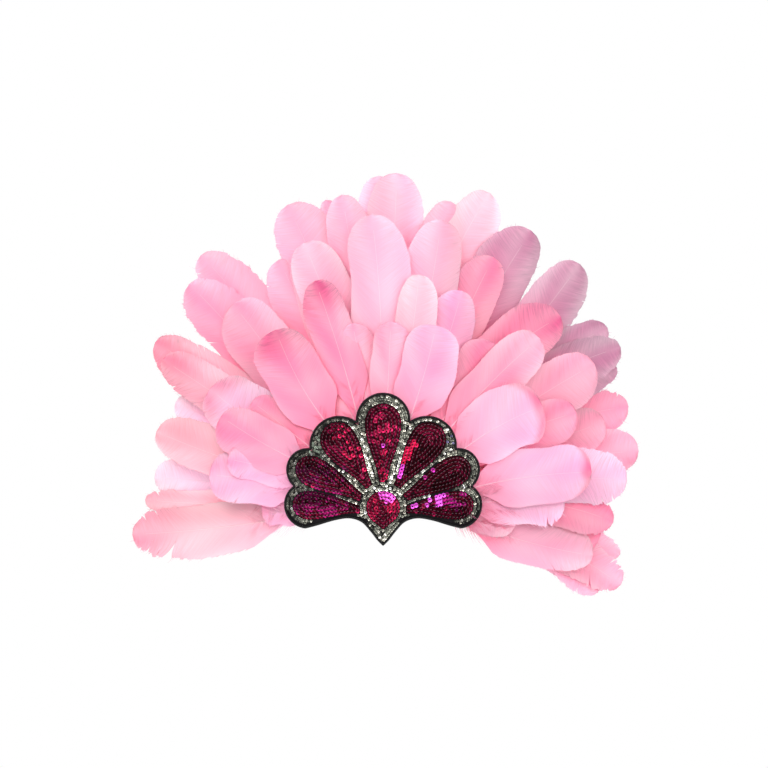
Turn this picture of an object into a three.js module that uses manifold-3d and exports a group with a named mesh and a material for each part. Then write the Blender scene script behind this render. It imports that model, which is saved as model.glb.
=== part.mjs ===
// A carnival feather headdress: goose feathers fanned out on a stiff pad, a sequined felt plaque
// in front of the pad, and an elastic band that goes round the head.
// Millimetres, +Z up. The origin is the middle of the head opening, level with the middle of the
// band. The plaque faces -Y, and +X is to the right as the plaque is looked at.
import * as THREE from "three";
import { mergeVertices } from "three/addons/utils/BufferGeometryUtils.js";
import Module from "manifold-3d";

const wasm = await Module();
wasm.setup();

// Gap left between neighbouring pieces
const GAP = 0.3;

// Head band: a superellipse seen from above
const HEAD_HALF_WIDTH = 77;
const HEAD_HALF_LENGTH = 96;
const HEAD_SQUARENESS = 2.2;
const BAND_HEIGHT = 20;
const BAND_THICKNESS = 1.5;
const BAND_POINTS = 40;

// The pad, the plaque and the fan are bent round the forehead, and run on straight beyond the bend
const BEND_RADIUS = 135;
const BEND_HALF_WIDTH = 62;
const BEND_STEP = 12.4;
const SHEET_REACH = 99.2;
const SHEET_BOTTOM = -45;
const SHEET_TOP = 100;

// Quill pad: a half round block that the quills end against
const PAD_RADIUS = 50;
const PAD_BOTTOM = -9;
const PAD_POINTS = 24;

// Layers of the fan, counted from the front
const LAYERS = 10;
const ROOT_PITCH = 1.5;
const OUTER_PITCH = 5;
const PITCH_GROWS_FROM = 55;
const PITCH_GROWS_TO = 155;
const FORWARD_LEAN = 10;
const LEAN_FROM = 88;
const LEAN_TO = 170;
const TOP_LEAN_BACK = 0.1;
const TOP_LEAN_HEIGHT = 60;
const TOP_LEAN_SOFTNESS = 40;

// Feathers
const QUILL_WIDTH = 3;
const QUILL_THICKNESS = 1.2;
const TIP_THICKNESS = 0.9;
const ROOT_BEARING_LIMIT = THREE.MathUtils.degToRad(98);
const FEATHER_SIDES = 8;
const FEATHER_STEPS = 9;
const TIP_CROWDING = 1.6;
const VANE_STARTS = 0.04;
const VANE_FULL = 0.54;
const VANE_SWELL = 0.8;
const END_STARTS = 0.8;
const END_ROUNDNESS = 2.2;
const CUP_SHARE = 0.5;
const TWIST_SHARE = 0.18;
const TWIST_TURN = 2.4;
const CURL_STARTS = 0.72;

// Plaque thicknesses
const FELT_THICKNESS = 2;
const SEQUIN_THICKNESS = 1;
const EDGE_WIDTH = 1.6;
const EDGE_RISE = 0.5;

// Depths along Y, from the band forward
const BAND_FRONT = -(HEAD_HALF_LENGTH + BAND_THICKNESS);
const PAD_BACK = BAND_FRONT - GAP;
const PAD_FRONT = PAD_BACK - LAYERS * ROOT_PITCH;
const FELT_BACK = PAD_FRONT - GAP;
const FELT_FRONT = FELT_BACK - FELT_THICKNESS;
const SEQUIN_BACK = FELT_FRONT - GAP;
const SEQUIN_FRONT = SEQUIN_BACK - SEQUIN_THICKNESS;
const EDGE_FRONT = SEQUIN_FRONT - EDGE_RISE;

// Lobes of the plaque, from the top down the right side: each is an arc from the notch before it,
// over its outermost point, to the notch after it
const LOBE_COLUMNS = ["startX", "startZ", "tipX", "tipZ", "endX", "endZ"];
const LOBES = [
  [-20.9, 64.1, 0, 86, 20.9, 64.1],
  [20.9, 64.1, 50.6, 61, 57.1, 42.8],
  [57.1, 42.8, 75.6, 27.2, 69.9, 13.1],
  [69.9, 13.1, 77.3, 0, 60.3, -19.5],
];
const LOBE_STEPS = 9;
const TOP_LOBE_STEPS = 10;

// Lower edge of the plaque, from the last lobe to the pointed foot
const LOWER_EDGE = [
  [60.3, -19.5],
  [51.5, -17],
  [37.5, -12.6],
  [26, -10.9],
  [16.5, -13.8],
  [9.4, -21.2],
];
const FOOT_SIDE = [4.4, -27.6];
const FOOT = [0, -32];
const LOWER_STEPS = 7;

// Petals: bearing and distance from the origin of the round end and of the narrow base
const PETAL_COLUMNS = ["endBearing", "endReach", "baseBearing", "baseReach", "width"];
const PETALS = [
  [-91.3, 70, -103, 18.5, 21.5],
  [-65.5, 73.5, -73, 17.5, 23],
  [-35, 74, -38, 17.5, 27],
  [0, 77.4, 0, 17.5, 27],
  [35, 74, 38, 17.5, 27],
  [65.5, 73.5, 73, 17.5, 23],
  [91.3, 70, 103, 18.5, 21.5],
];
const PETAL_BASE_WIDTH = 5.6;
const PETAL_WIDEST = 0.76;
const PETAL_SWELL = 1.6;
const PETAL_BEND = 3;
const PETAL_SIDE_STEPS = 6;
const PETAL_END_STEPS = 5;

// Drop below the petals
const DROP_RADIUS = 12.6;
const DROP_CENTRE = -2.6;
const DROP_FOOT = -18.8;
const DROP_POINTS = 18;

// Feathers: tip position and widest width in millimetres, sideways bow of the quill (to the right
// of its own direction), layer, forward curl of the tip
const FEATHER_COLUMNS = ["tipX", "tipZ", "width", "bow", "layer", "curl"];
const BACK_FEATHERS = [
  [-208, -32, 44, -7, 8, 3],
  [-189, 15, 38, 4, 9, 4],
  [-185, 54, 40, -8, 5, 5],
  [-171, 78, 32, 0, 9, 2],
  [-188, 127, 40, 8, 7, 4],
  [-181, 113, 36, 0, 6, 4],
  [-159, 175, 48, 4, 8, 7],
  [-150, 199, 44, 12, 9, 4],
  [-77, 237, 52, 16, 8, 3],
  [-33, 243, 38, 6, 7, 2],
  [11, 261, 48, 0, 9, 4],
  [86, 247, 46, -26, 8, 5],
  [120, 217, 50, -8, 7, 8],
  [161, 191, 46, 6, 6, 4],
  [195, 123, 40, -26, 5, 4],
  [204, 74, 40, -20, 9, 3],
  [212, 37, 42, -12, 8, 4],
  [188, -20, 34, -22, 5, 3],
  [196, -73, 36, -18, 8, 5],
  [177, -79, 34, -24, 9, 2],
];
const MIDDLE_FEATHERS = [
  [-139, 89, 50, -8, 4, 6],
  [-121, 157, 50, 2, 6, 6],
  [-63, 205, 44, 10, 6, 4],
  [-9, 225, 48, 8, 3, 5],
  [28, 178, 32, 4, 2, 3],
  [46, 222, 44, 6, 4, 5],
  [62, 166, 36, 6, 3, 4],
  [88, 194, 40, -4, 5, 5],
  [143, 147, 46, -26, 4, 9],
  [171, 109, 46, -6, 3, 5],
  [182, 62, 40, 0, 7, 3],
  [199, 14, 46, -14, 4, 5],
  [178, -31, 48, -8, 7, 4],
  [171, -47, 38, 10, 6, 3],
];
const FRONT_FEATHERS = [
  [-139, 20, 42, 4, 3, 5],
  [-129, 67, 40, -6, 2, 7],
  [-104, 79, 30, 0, 3, 3],
  [-84, 135, 48, -12, 1, 14],
  [-53, 173, 34, 4, 2, 12],
  [6, 141, 30, 0, 1, 4],
  [41, 138, 44, 4, 0, 7],
  [89, 124, 38, 0, 2, 2],
  [124, 129, 40, -8, 1, 9],
  [126, 75, 52, -10, 0, 8],
  [155, 70, 38, -10, 2, 4],
  [167, 22, 46, -8, 1, 6],
  [145, -8, 40, -10, 3, 5],
];

// Colour, roughness and metalness, by piece
const MATERIALS = {
  feather_back: { color: "#f3b0c6", roughness: 0.75, metalness: 0 },
  feather_middle: { color: "#fbb3cb", roughness: 0.75, metalness: 0 },
  feather_front: { color: "#fcbcd6", roughness: 0.75, metalness: 0 },
  plaque_felt: { color: "#151115", roughness: 0.95, metalness: 0 },
  edge_binding: { color: "#0d0c0f", roughness: 0.45, metalness: 0 },
  silver_trim: { color: "#a3a09b", roughness: 0.3, metalness: 0.9 },
  petal: { color: "#7c1038", roughness: 0.25, metalness: 0.8 },
  center_drop: { color: "#c21a63", roughness: 0.22, metalness: 0.8 },
  quill_pad: { color: "#1a1618", roughness: 0.95, metalness: 0 },
  head_band: { color: "#141314", roughness: 0.85, metalness: 0 },
};

const headdress = new THREE.Group();

function addPiece(name, geometry, finish) {
  const mesh = new THREE.Mesh(geometry, new THREE.MeshStandardMaterial(MATERIALS[finish]));
  mesh.name = name;
  headdress.add(mesh);
}

function namedRow(columns, row) {
  return Object.fromEntries(columns.map((column, i) => [column, row[i]]));
}

// Closed mesh to solid and back, for cutting and joining
function toSolid(geometry) {
  const bare = new THREE.BufferGeometry();
  bare.setAttribute("position", geometry.getAttribute("position"));
  bare.setIndex(geometry.getIndex());
  const merged = mergeVertices(bare);
  return new wasm.Manifold(new wasm.Mesh({
    numProp: 3,
    vertProperties: new Float32Array(merged.getAttribute("position").array),
    triVerts: new Uint32Array(merged.getIndex().array),
  }));
}

function toGeometry(solid) {
  const { vertProperties, triVerts } = solid.getMesh();
  const geometry = new THREE.BufferGeometry();
  geometry.setAttribute("position", new THREE.BufferAttribute(vertProperties, 3));
  geometry.setIndex(new THREE.BufferAttribute(triVerts, 1));
  geometry.computeVertexNormals();
  return geometry;
}

// How far back the bent surface lies at x: a round bend, then straight on along its tangent
function sweepBack(x) {
  const bent = Math.min(Math.abs(x), BEND_HALF_WIDTH);
  const edge = Math.sqrt(BEND_RADIUS ** 2 - BEND_HALF_WIDTH ** 2);
  const arc = BEND_RADIUS - Math.sqrt(BEND_RADIUS ** 2 - bent ** 2);
  return arc + (Math.abs(x) - bent) * (BEND_HALF_WIDTH / edge);
}

// A bent sheet, taller and wider than the plaque, with its front face at the given depth
function bentSheet(front, thickness) {
  const xs = [];
  for (let x = -SHEET_REACH; x <= SHEET_REACH + GAP; x += BEND_STEP) xs.push(x);
  const frontLine = xs.map((x) => new THREE.Vector2(x, front + sweepBack(x)));
  const backLine = xs.map((x) => new THREE.Vector2(x, front + thickness + sweepBack(x)));
  const shape = new THREE.Shape([...frontLine, ...backLine.reverse()]);
  const depth = SHEET_TOP - SHEET_BOTTOM;
  const sheet = new THREE.ExtrudeGeometry(shape, { depth, bevelEnabled: false });
  return toSolid(sheet.translate(0, 0, SHEET_BOTTOM));
}

// A prism along Y over an outline given as points (x, z)
function prism(points) {
  const depth = 2 * SHEET_REACH;
  const shape = new THREE.Shape(points);
  const geometry = new THREE.ExtrudeGeometry(shape, { depth, bevelEnabled: false });
  return toSolid(geometry.rotateX(Math.PI / 2));
}

function reflect(points) {
  return points.map((point) => new THREE.Vector2(-point.x, point.y)).reverse();
}

// Points on the round arc from a start, over a middle point, to an end, without the end itself
function arcThrough(start, middle, end, steps) {
  const toMiddle = middle.clone().sub(start);
  const toEnd = end.clone().sub(start);
  const cross = 2 * toMiddle.cross(toEnd);
  const centre = new THREE.Vector2(
    start.x + (toEnd.y * toMiddle.lengthSq() - toMiddle.y * toEnd.lengthSq()) / cross,
    start.y + (toMiddle.x * toEnd.lengthSq() - toEnd.x * toMiddle.lengthSq()) / cross,
  );
  const radius = centre.distanceTo(start);
  const from = start.clone().sub(centre).angle();
  const turn = THREE.MathUtils.euclideanModulo(from - end.clone().sub(centre).angle(), 2 * Math.PI);
  return Array.from({ length: steps }, (_, i) => {
    const angle = from - (turn * i) / steps;
    return new THREE.Vector2(
      centre.x + radius * Math.cos(angle),
      centre.y + radius * Math.sin(angle),
    );
  });
}

// Outline of the plaque, clockwise from the left end of the top lobe
function plaqueOutline() {
  const [topLobe, ...sideLobes] = LOBES.map((row) => namedRow(LOBE_COLUMNS, row));
  const lobeArc = (lobe, steps) => arcThrough(
    new THREE.Vector2(lobe.startX, lobe.startZ),
    new THREE.Vector2(lobe.tipX, lobe.tipZ),
    new THREE.Vector2(lobe.endX, lobe.endZ),
    steps,
  );
  const lower = new THREE.SplineCurve(LOWER_EDGE.map(([x, z]) => new THREE.Vector2(x, z)));
  const rightSide = [
    ...sideLobes.flatMap((lobe) => lobeArc(lobe, LOBE_STEPS)),
    ...lower.getPoints(LOWER_STEPS),
    new THREE.Vector2(...FOOT_SIDE),
  ];
  const leftSide = reflect(rightSide).slice(0, -1);
  return [
    ...lobeArc(topLobe, TOP_LOBE_STEPS),
    ...rightSide,
    new THREE.Vector2(...FOOT),
    ...leftSide,
  ];
}

// The same clockwise outline moved inwards by a distance, with mitred corners
function insetOutline(points, distance) {
  return points.map((point, i) => {
    const before = points[(i + points.length - 1) % points.length];
    const after = points[(i + 1) % points.length];
    const inA = point.clone().sub(before).normalize();
    const inB = after.clone().sub(point).normalize();
    const normalA = new THREE.Vector2(inA.y, -inA.x);
    const normalB = new THREE.Vector2(inB.y, -inB.x);
    const mitre = normalA.clone().add(normalB);
    return point.clone().addScaledVector(mitre, (2 * distance) / mitre.lengthSq());
  });
}

function polar(bearing, reach) {
  const angle = THREE.MathUtils.degToRad(bearing);
  return new THREE.Vector2(reach * Math.sin(angle), reach * Math.cos(angle));
}

// Outline of a petal, widened by a margin: a narrow base that swells to a round end. The base
// is moved sideways, so that the petal bends as it nears the middle.
function petalOutline(row, margin) {
  const petal = namedRow(PETAL_COLUMNS, row);
  const end = polar(petal.endBearing, petal.endReach + margin);
  const base = polar(petal.baseBearing, petal.baseReach - margin);
  const axis = polar(petal.endBearing, 1);
  const length = end.clone().sub(base).dot(axis);
  const straightBase = end.clone().addScaledVector(axis, -length);
  const shift = base.clone().sub(straightBase);
  const across = new THREE.Vector2(axis.y, -axis.x);
  const halfBase = PETAL_BASE_WIDTH / 2 + margin;
  const halfWidth = petal.width / 2 + margin;
  const stations = [];
  for (let i = 0; i <= PETAL_SIDE_STEPS; i++) {
    const part = i / PETAL_SIDE_STEPS;
    const swell = Math.sin((part * Math.PI) / 2) ** PETAL_SWELL;
    stations.push([part * PETAL_WIDEST, halfBase + (halfWidth - halfBase) * swell]);
  }
  for (let i = 1; i < PETAL_END_STEPS; i++) {
    const angle = ((i / PETAL_END_STEPS) * Math.PI) / 2;
    stations.push([
      PETAL_WIDEST + (1 - PETAL_WIDEST) * Math.sin(angle),
      halfWidth * Math.cos(angle),
    ]);
  }
  const place = ([along, half], side) => straightBase.clone()
    .addScaledVector(axis, length * along)
    .addScaledVector(shift, (1 - along) ** PETAL_BEND)
    .addScaledVector(across, side * half);
  return [
    ...stations.map((station) => place(station, -1)),
    end,
    ...stations.map((station) => place(station, 1)).reverse(),
  ];
}

// Outline of the drop, widened by a margin: round above, with straight sides to a pointed foot
function dropOutline(margin) {
  const radius = DROP_RADIUS + margin;
  const foot = DROP_FOOT - margin * (DROP_CENTRE - DROP_FOOT) / DROP_RADIUS;
  const half = Math.acos(radius / (DROP_CENTRE - foot));
  const points = [new THREE.Vector2(0, foot)];
  for (let i = 0; i <= DROP_POINTS; i++) {
    const angle = -Math.PI / 2 - half - (i / DROP_POINTS) * (2 * Math.PI - 2 * half);
    points.push(new THREE.Vector2(radius * Math.cos(angle), DROP_CENTRE + radius * Math.sin(angle)));
  }
  return points;
}

// Head band: one closed elastic loop
function headBand() {
  const loop = (margin) => Array.from({ length: BAND_POINTS }, (_, i) => {
    const angle = (i / BAND_POINTS) * 2 * Math.PI;
    const power = 2 / HEAD_SQUARENESS;
    const c = Math.cos(angle);
    const s = Math.sin(angle);
    return new THREE.Vector2(
      (HEAD_HALF_WIDTH + margin) * Math.sign(c) * Math.abs(c) ** power,
      (HEAD_HALF_LENGTH + margin) * Math.sign(s) * Math.abs(s) ** power,
    );
  });
  const shape = new THREE.Shape(loop(BAND_THICKNESS));
  shape.holes.push(new THREE.Path(loop(0)));
  const band = new THREE.ExtrudeGeometry(shape, { depth: BAND_HEIGHT, bevelEnabled: false });
  addPiece("head_band", band.translate(0, 0, -BAND_HEIGHT / 2), "head_band");
}

// Quill pad: half round, as thick as all the layers of quills
function quillPad() {
  const limit = Math.acos(PAD_BOTTOM / PAD_RADIUS);
  const edge = Array.from({ length: PAD_POINTS + 1 }, (_, i) => {
    const bearing = -limit + (2 * limit * i) / PAD_POINTS;
    return new THREE.Vector2(PAD_RADIUS * Math.sin(bearing), PAD_RADIUS * Math.cos(bearing));
  });
  const pad = prism(edge).intersect(bentSheet(PAD_FRONT, LAYERS * ROOT_PITCH));
  addPiece("quill_pad", toGeometry(pad), "quill_pad");
}

// Plaque: felt, its stitched edge, the silver sequin web, and the petals and drop in its openings
function plaque() {
  const outline = plaqueOutline();
  const inner = prism(insetOutline(outline, EDGE_WIDTH + GAP));
  const felt = inner.intersect(bentSheet(FELT_FRONT, FELT_THICKNESS));
  addPiece("plaque_felt", toGeometry(felt), "plaque_felt");

  const edgeRing = prism(outline).subtract(prism(insetOutline(outline, EDGE_WIDTH)));
  const edge = edgeRing.intersect(bentSheet(EDGE_FRONT, FELT_BACK - EDGE_FRONT));
  addPiece("edge_binding", toGeometry(edge), "edge_binding");

  const sequins = bentSheet(SEQUIN_FRONT, SEQUIN_THICKNESS);
  let web = inner.intersect(sequins).subtract(prism(dropOutline(GAP)));
  PETALS.forEach((row, i) => {
    web = web.subtract(prism(petalOutline(row, GAP)));
    const petal = prism(petalOutline(row, 0)).intersect(sequins);
    addPiece(`petal_${i + 1}`, toGeometry(petal), "petal");
  });
  addPiece("silver_trim", toGeometry(web), "silver_trim");
  const drop = prism(dropOutline(0)).intersect(sequins);
  addPiece("center_drop", toGeometry(drop), "center_drop");
}

// Distance between layers, which fan apart away from the pad
function layerPitch(reach) {
  const grown = THREE.MathUtils.smoothstep(reach, PITCH_GROWS_FROM, PITCH_GROWS_TO);
  return THREE.MathUtils.lerp(ROOT_PITCH, OUTER_PITCH, grown);
}

// Depth of a layer's middle: bent round the forehead, fanned apart from its neighbours, leaning
// forward past the plaque and, high up, leaning back
function layerDepth(x, z, layer) {
  const reach = Math.hypot(x, z);
  const above = z - TOP_LEAN_HEIGHT;
  const leanBack = (TOP_LEAN_BACK * (above + Math.hypot(above, TOP_LEAN_SOFTNESS))) / 2;
  const leanForward = FORWARD_LEAN * THREE.MathUtils.smoothstep(reach, LEAN_FROM, LEAN_TO);
  const front = PAD_FRONT + QUILL_THICKNESS / 2 + sweepBack(x);
  return front + layer * layerPitch(reach) + leanBack - leanForward;
}

// The quill's line seen from the front, from the pad's edge to the tip
function quillLine(feather) {
  const tip = new THREE.Vector2(feather.tipX, feather.tipZ);
  const bearing = THREE.MathUtils.clamp(
    Math.atan2(tip.x, tip.y),
    -ROOT_BEARING_LIMIT,
    ROOT_BEARING_LIMIT,
  );
  const radial = new THREE.Vector2(Math.sin(bearing), Math.cos(bearing));
  const rim = radial.clone().multiplyScalar(PAD_RADIUS + GAP);
  const heading = tip.clone().sub(rim).normalize();
  const side = new THREE.Vector2(heading.y, -heading.x);
  const bend = rim.clone().lerp(tip, 0.5).addScaledVector(side, feather.bow);
  const leaving = bend.clone().sub(rim).normalize();
  const cornerRoom = (Math.abs(leaving.cross(radial)) * QUILL_WIDTH) / 2;
  const root = rim.addScaledVector(radial, cornerRoom);
  return new THREE.QuadraticBezierCurve(root, bend, tip);
}

// Half the width of a feather at a part of its length: bare quill, swelling vane, rounded end
function halfWidth(feather, along) {
  const grown = THREE.MathUtils.clamp((along - VANE_STARTS) / (VANE_FULL - VANE_STARTS), 0, 1);
  const swell = Math.sin((grown * Math.PI) / 2) ** VANE_SWELL;
  const ended = Math.max(0, (along - END_STARTS) / (1 - END_STARTS));
  const end = (1 - Math.min(1, ended) ** END_ROUNDNESS) ** (1 / END_ROUNDNESS);
  return Math.max(QUILL_WIDTH / 2, (feather.width / 2) * swell * end);
}

// A feather: a flattened cylinder laid along the quill's line on its layer's surface, with its
// edges cupped back, a slight twist and a tip that curls forward
function featherGeometry(feather) {
  const line = quillLine(feather);
  const geometry = new THREE.CylinderGeometry(1, 1, 1, FEATHER_SIDES, FEATHER_STEPS);
  const position = geometry.getAttribute("position");
  for (let i = 0; i < position.count; i++) {
    const along = 1 - (0.5 - position.getY(i)) ** TIP_CROWDING;
    const across = position.getX(i);
    const middle = line.getPoint(along);
    const heading = line.getTangent(along);
    const half = halfWidth(feather, along);
    const x = middle.x + heading.y * across * half;
    const z = middle.y - heading.x * across * half;
    const room = layerPitch(Math.hypot(x, z)) - QUILL_THICKNESS - GAP;
    const ownShape = room * (CUP_SHARE * across ** 2 + feather.twist * across);
    const curled = Math.max(0, (along - CURL_STARTS) / (1 - CURL_STARTS));
    const thickness = THREE.MathUtils.lerp(QUILL_THICKNESS, TIP_THICKNESS, along);
    const y = layerDepth(x, z, feather.layer) + ownShape - feather.curl * curled ** 2;
    position.setXYZ(i, x, y - (position.getZ(i) * thickness) / 2, z);
  }
  geometry.computeVertexNormals();
  return geometry;
}

function featherRow(finish, rows) {
  rows.forEach((row, i) => {
    const feather = namedRow(FEATHER_COLUMNS, row);
    feather.twist = TWIST_SHARE * Math.sin(TWIST_TURN * (i + 1));
    const name = `${finish}_${String(i + 1).padStart(2, "0")}`;
    addPiece(name, featherGeometry(feather), finish);
  });
}

headBand();
quillPad();
plaque();
featherRow("feather_back", BACK_FEATHERS);
featherRow("feather_middle", MIDDLE_FEATHERS);
featherRow("feather_front", FRONT_FEATHERS);

export default headdress;
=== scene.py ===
# %% [markdown]
# # A carnival headdress of dyed feathers
# Goose feathers, dyed pink, are glued in a fan to a felt pad. A felt plaque sewn all over with
# sequins covers the place where they meet, and an elastic band holds it on the forehead. The
# solids already give each piece its size and place. This lesson dresses them with barbs and
# quills, cupped sequins, satin stitches and woven ribs.

# %% Load the frame
import bpy
import numpy as np
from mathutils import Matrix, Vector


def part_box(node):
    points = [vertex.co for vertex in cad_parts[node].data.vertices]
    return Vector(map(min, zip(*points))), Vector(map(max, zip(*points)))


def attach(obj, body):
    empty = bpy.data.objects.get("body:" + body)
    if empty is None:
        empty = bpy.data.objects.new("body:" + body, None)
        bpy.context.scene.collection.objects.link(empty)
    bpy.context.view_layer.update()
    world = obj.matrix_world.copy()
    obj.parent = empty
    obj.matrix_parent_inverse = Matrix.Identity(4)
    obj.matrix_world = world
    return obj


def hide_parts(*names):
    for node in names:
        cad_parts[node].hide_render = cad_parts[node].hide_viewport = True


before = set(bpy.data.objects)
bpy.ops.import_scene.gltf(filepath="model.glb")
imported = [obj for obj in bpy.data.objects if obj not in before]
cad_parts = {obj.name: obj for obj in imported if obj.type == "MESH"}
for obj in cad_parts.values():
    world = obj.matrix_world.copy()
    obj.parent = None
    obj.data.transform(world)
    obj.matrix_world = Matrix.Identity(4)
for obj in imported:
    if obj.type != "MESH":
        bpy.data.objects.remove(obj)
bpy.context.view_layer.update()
MM = 0.001
rng = np.random.default_rng(47)

# %% [markdown]
# ## Colours and nodes
# A colour is an sRGB hex value, but a shader adds light, so it needs linear values.
# One function turns one into the other. Another adds a shader node with its settings and links:
# a node's own settings are named in lower case, its inputs with a capital.

# %% Colours and nodes


def linear(hex_colour):
    """sRGB hex to linear RGB: c / 12.92 below 0.04045, else ((c + 0.055) / 1.055) ** 2.4."""
    value = np.array([int(hex_colour[i:i + 2], 16) for i in (1, 3, 5)]) / 255
    return np.where(value <= 0.04045, value / 12.92, ((value + 0.055) / 1.055) ** 2.4)


def add_node(tree, kind, *ordered, **named):
    """A shader node. Inputs come in order or by name, with _ for a space. A socket is linked to
    its input, and anything else is the input's value."""
    node = tree.nodes.new("ShaderNode" + kind)
    inputs = dict(enumerate(ordered))
    for name, value in named.items():
        if name[0].islower():
            setattr(node, name, value)
        else:
            inputs[name.replace("_", " ")] = value
    for name, value in inputs.items():
        if isinstance(value, bpy.types.NodeSocket):
            tree.links.new(value, node.inputs[name])
        else:
            node.inputs[name].default_value = value
    return node


def new_material(name):
    """A node material with nothing in it yet, and its tree."""
    material = bpy.data.materials.new(name)
    material.use_nodes = True
    material.node_tree.nodes.clear()
    return material, material.node_tree


print("pink in linear light:", linear("#ffb6cf").round(3))

# %% [markdown]
# ## Meshes from whole arrays
# Every piece is computed as arrays of points and of four-cornered faces, and handed to a mesh in
# one go. A few small functions do the geometry that comes back again and again.

# %% Arrays and meshes


def unit(ways):
    """Directions of length one: v / |v|."""
    return ways / np.linalg.norm(ways, axis=-1, keepdims=True)


def right_of(ways):
    """What lies to the right of flat directions: (z, -x)."""
    return np.stack([ways[..., 1], -ways[..., 0]], axis=-1)


def in_space(flat, depth=0):
    """Flat (x, z) points, each at its depth: (x, depth, z)."""
    return np.stack([flat[..., 0], depth + 0 * flat[..., 0], flat[..., 1]], axis=-1)


def round_angles(count):
    """Even angles round a circle: 2 pi i / n."""
    return 2 * np.pi * np.arange(count) / count


def smoothstep(value, low, high):
    """3 t^2 - 2 t^3, where t runs from 0 at low to 1 at high."""
    t = np.clip((value - low) / (high - low), 0, 1)
    return t * t * (3 - 2 * t)


def grid_quads(rows, columns, wrap=False):
    """Faces of a grid of points stored row by row; wrap joins the last column to the first."""
    row, column = np.meshgrid(np.arange(rows - 1), np.arange(columns - (not wrap)), indexing="ij")
    after = (column + 1) % columns
    corners = [row * columns + column, row * columns + after,
               (row + 1) * columns + after, (row + 1) * columns + column]
    return np.stack(corners, axis=-1).reshape(-1, 4)


def ring_quads(rows, columns):
    """The same, closed both ways: the last row is joined to the first as well."""
    return grid_quads(rows + 1, columns, wrap=True) % (rows * columns)


def fill(items, key, values, kind=np.float32):
    """Hands a whole array to a mesh at once."""
    items.foreach_set(key, np.asarray(values, dtype=kind).ravel())


def new_object(name, data):
    """An object in the scene, at the origin."""
    made = bpy.data.objects.new(name, data)
    bpy.context.scene.collection.objects.link(made)
    return made


def make_piece(name, points, quads, materials, colour_and_painted_light=None, uv=None, looks=None, smooth=True):
    """A mesh object from arrays: points in metres, four-cornered faces, a colour of four numbers
    and a UV for each point, and a material number for each face. The colour may hold painted light.
    It rides on the one body. Open edges are sharp, so that the thin wall a sheet gets there doesn't
    spoil its shading."""
    mesh = bpy.data.meshes.new(name)
    mesh.vertices.add(len(points))
    mesh.loops.add(quads.size)
    mesh.polygons.add(len(quads))
    fill(mesh.vertices, "co", points)
    fill(mesh.loops, "vertex_index", quads, np.int32)
    fill(mesh.polygons, "loop_start", np.arange(0, quads.size, 4), np.int32)
    fill(mesh.polygons, "use_smooth", np.full(len(quads), smooth), bool)
    for material in materials:
        mesh.materials.append(material)
    if looks is not None:
        fill(mesh.polygons, "material_index", looks, np.int32)
    if colour_and_painted_light is not None:
        fill(mesh.color_attributes.new("colour_and_painted_light", "FLOAT_COLOR", "POINT").data, "color", colour_and_painted_light)
    if uv is not None:
        fill(mesh.uv_layers.new(name="along_and_across").data, "uv", uv[quads.ravel()])
    mesh.update(calc_edges=True)
    mesh.validate()
    used = np.zeros(len(mesh.loops), dtype=np.int32)
    mesh.loops.foreach_get("edge_index", used)
    open_edge = np.bincount(used, minlength=len(mesh.edges)) == 1
    fill(mesh.attributes.new("sharp_edge", "BOOLEAN", "EDGE").data, "value", open_edge, bool)
    piece = new_object(name, mesh)
    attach(piece, "root")
    return piece


print("4 x 3 points make", len(grid_quads(4, 3)), "faces,", len(ring_quads(4, 3)), "if closed")

# %% [markdown]
# ## Camera
# The photograph looks straight at the plaque from eye level. A long lens from 1.6 m away gives
# the same flat perspective. The plaque's middle falls on one known pixel, and a pixel is 0.77 mm
# there, which gives the lens and the camera's place.

# %% Camera
MM_PER_PIXEL = 0.77
PICTURE_WIDTH = 768
CENTRE_PIXEL = (383.1, 504.5)
CAMERA_DISTANCE = 1.6
SENSOR = 36
PLAQUE_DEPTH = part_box("edge_binding")[0][1]

camera_data = bpy.data.cameras.new("camera")
camera_data.sensor_width = SENSOR
camera_data.lens = SENSOR * CAMERA_DISTANCE / (PICTURE_WIDTH * MM_PER_PIXEL * MM)
camera = new_object("camera", camera_data)
from_centre = (PICTURE_WIDTH / 2 - np.array(CENTRE_PIXEL)) * MM_PER_PIXEL * MM
camera.location = (from_centre[0], PLAQUE_DEPTH - CAMERA_DISTANCE, -from_centre[1])
camera.rotation_euler = (np.pi / 2, 0, 0)
bpy.context.scene.camera = camera
print("lens", round(camera_data.lens, 1), "mm, camera at", tuple(camera.location))

# %% [markdown]
# ## Light
# Big soft sources stand above to the left and straight ahead, with a weaker one to the right and
# one behind. A white room all round makes the thin feathers glow. It is dimmer as a light than
# as a backdrop, or the light would come from everywhere alike and make the feathers look flat.

# %% Studio lights
ROOM_LIGHT = 0.62
LIGHT_AIM = (0, -0.05, 0.08)
# Name, place, size in metres and power in watts.
LIGHTS = [
    ("key_softbox", (-0.9, -1.5, 1.2), 1.0, 21.0),
    ("front_softbox", (0.1, -2.1, 0.5), 1.3, 24.0),
    ("fill_softbox", (1.3, -1.3, 0.5), 0.9, 8.0),
    ("back_softbox", (0.3, 1.4, 1.2), 1.2, 22.0),
]
for name, place, size, power in LIGHTS:
    data = bpy.data.lights.new(name, "AREA")
    data.size = size
    data.energy = power
    lamp = new_object(name, data)
    lamp.location = place
    aim = np.array(LIGHT_AIM) - place
    across = np.hypot(aim[0], aim[1])
    lamp.rotation_euler = (np.arctan2(across, -aim[2]), 0, np.arctan2(-aim[0], aim[1]))

world = bpy.data.worlds.new("white_room")
world.use_nodes = True
backdrop = world.node_tree.nodes["Background"]
backdrop.inputs["Color"].default_value = (1, 1, 1, 1)
seen = add_node(world.node_tree, "LightPath")
strength = add_node(world.node_tree, "MapRange", Value=seen.outputs["Is Camera Ray"],
                    To_Min=ROOM_LIGHT, To_Max=1.0)
world.node_tree.links.new(strength.outputs["Result"], backdrop.inputs["Strength"])
bpy.context.scene.world = world
bpy.context.scene.view_settings.view_transform = "Standard"
print("lights:", len(LIGHTS), "and a room at", ROOM_LIGHT)

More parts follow.
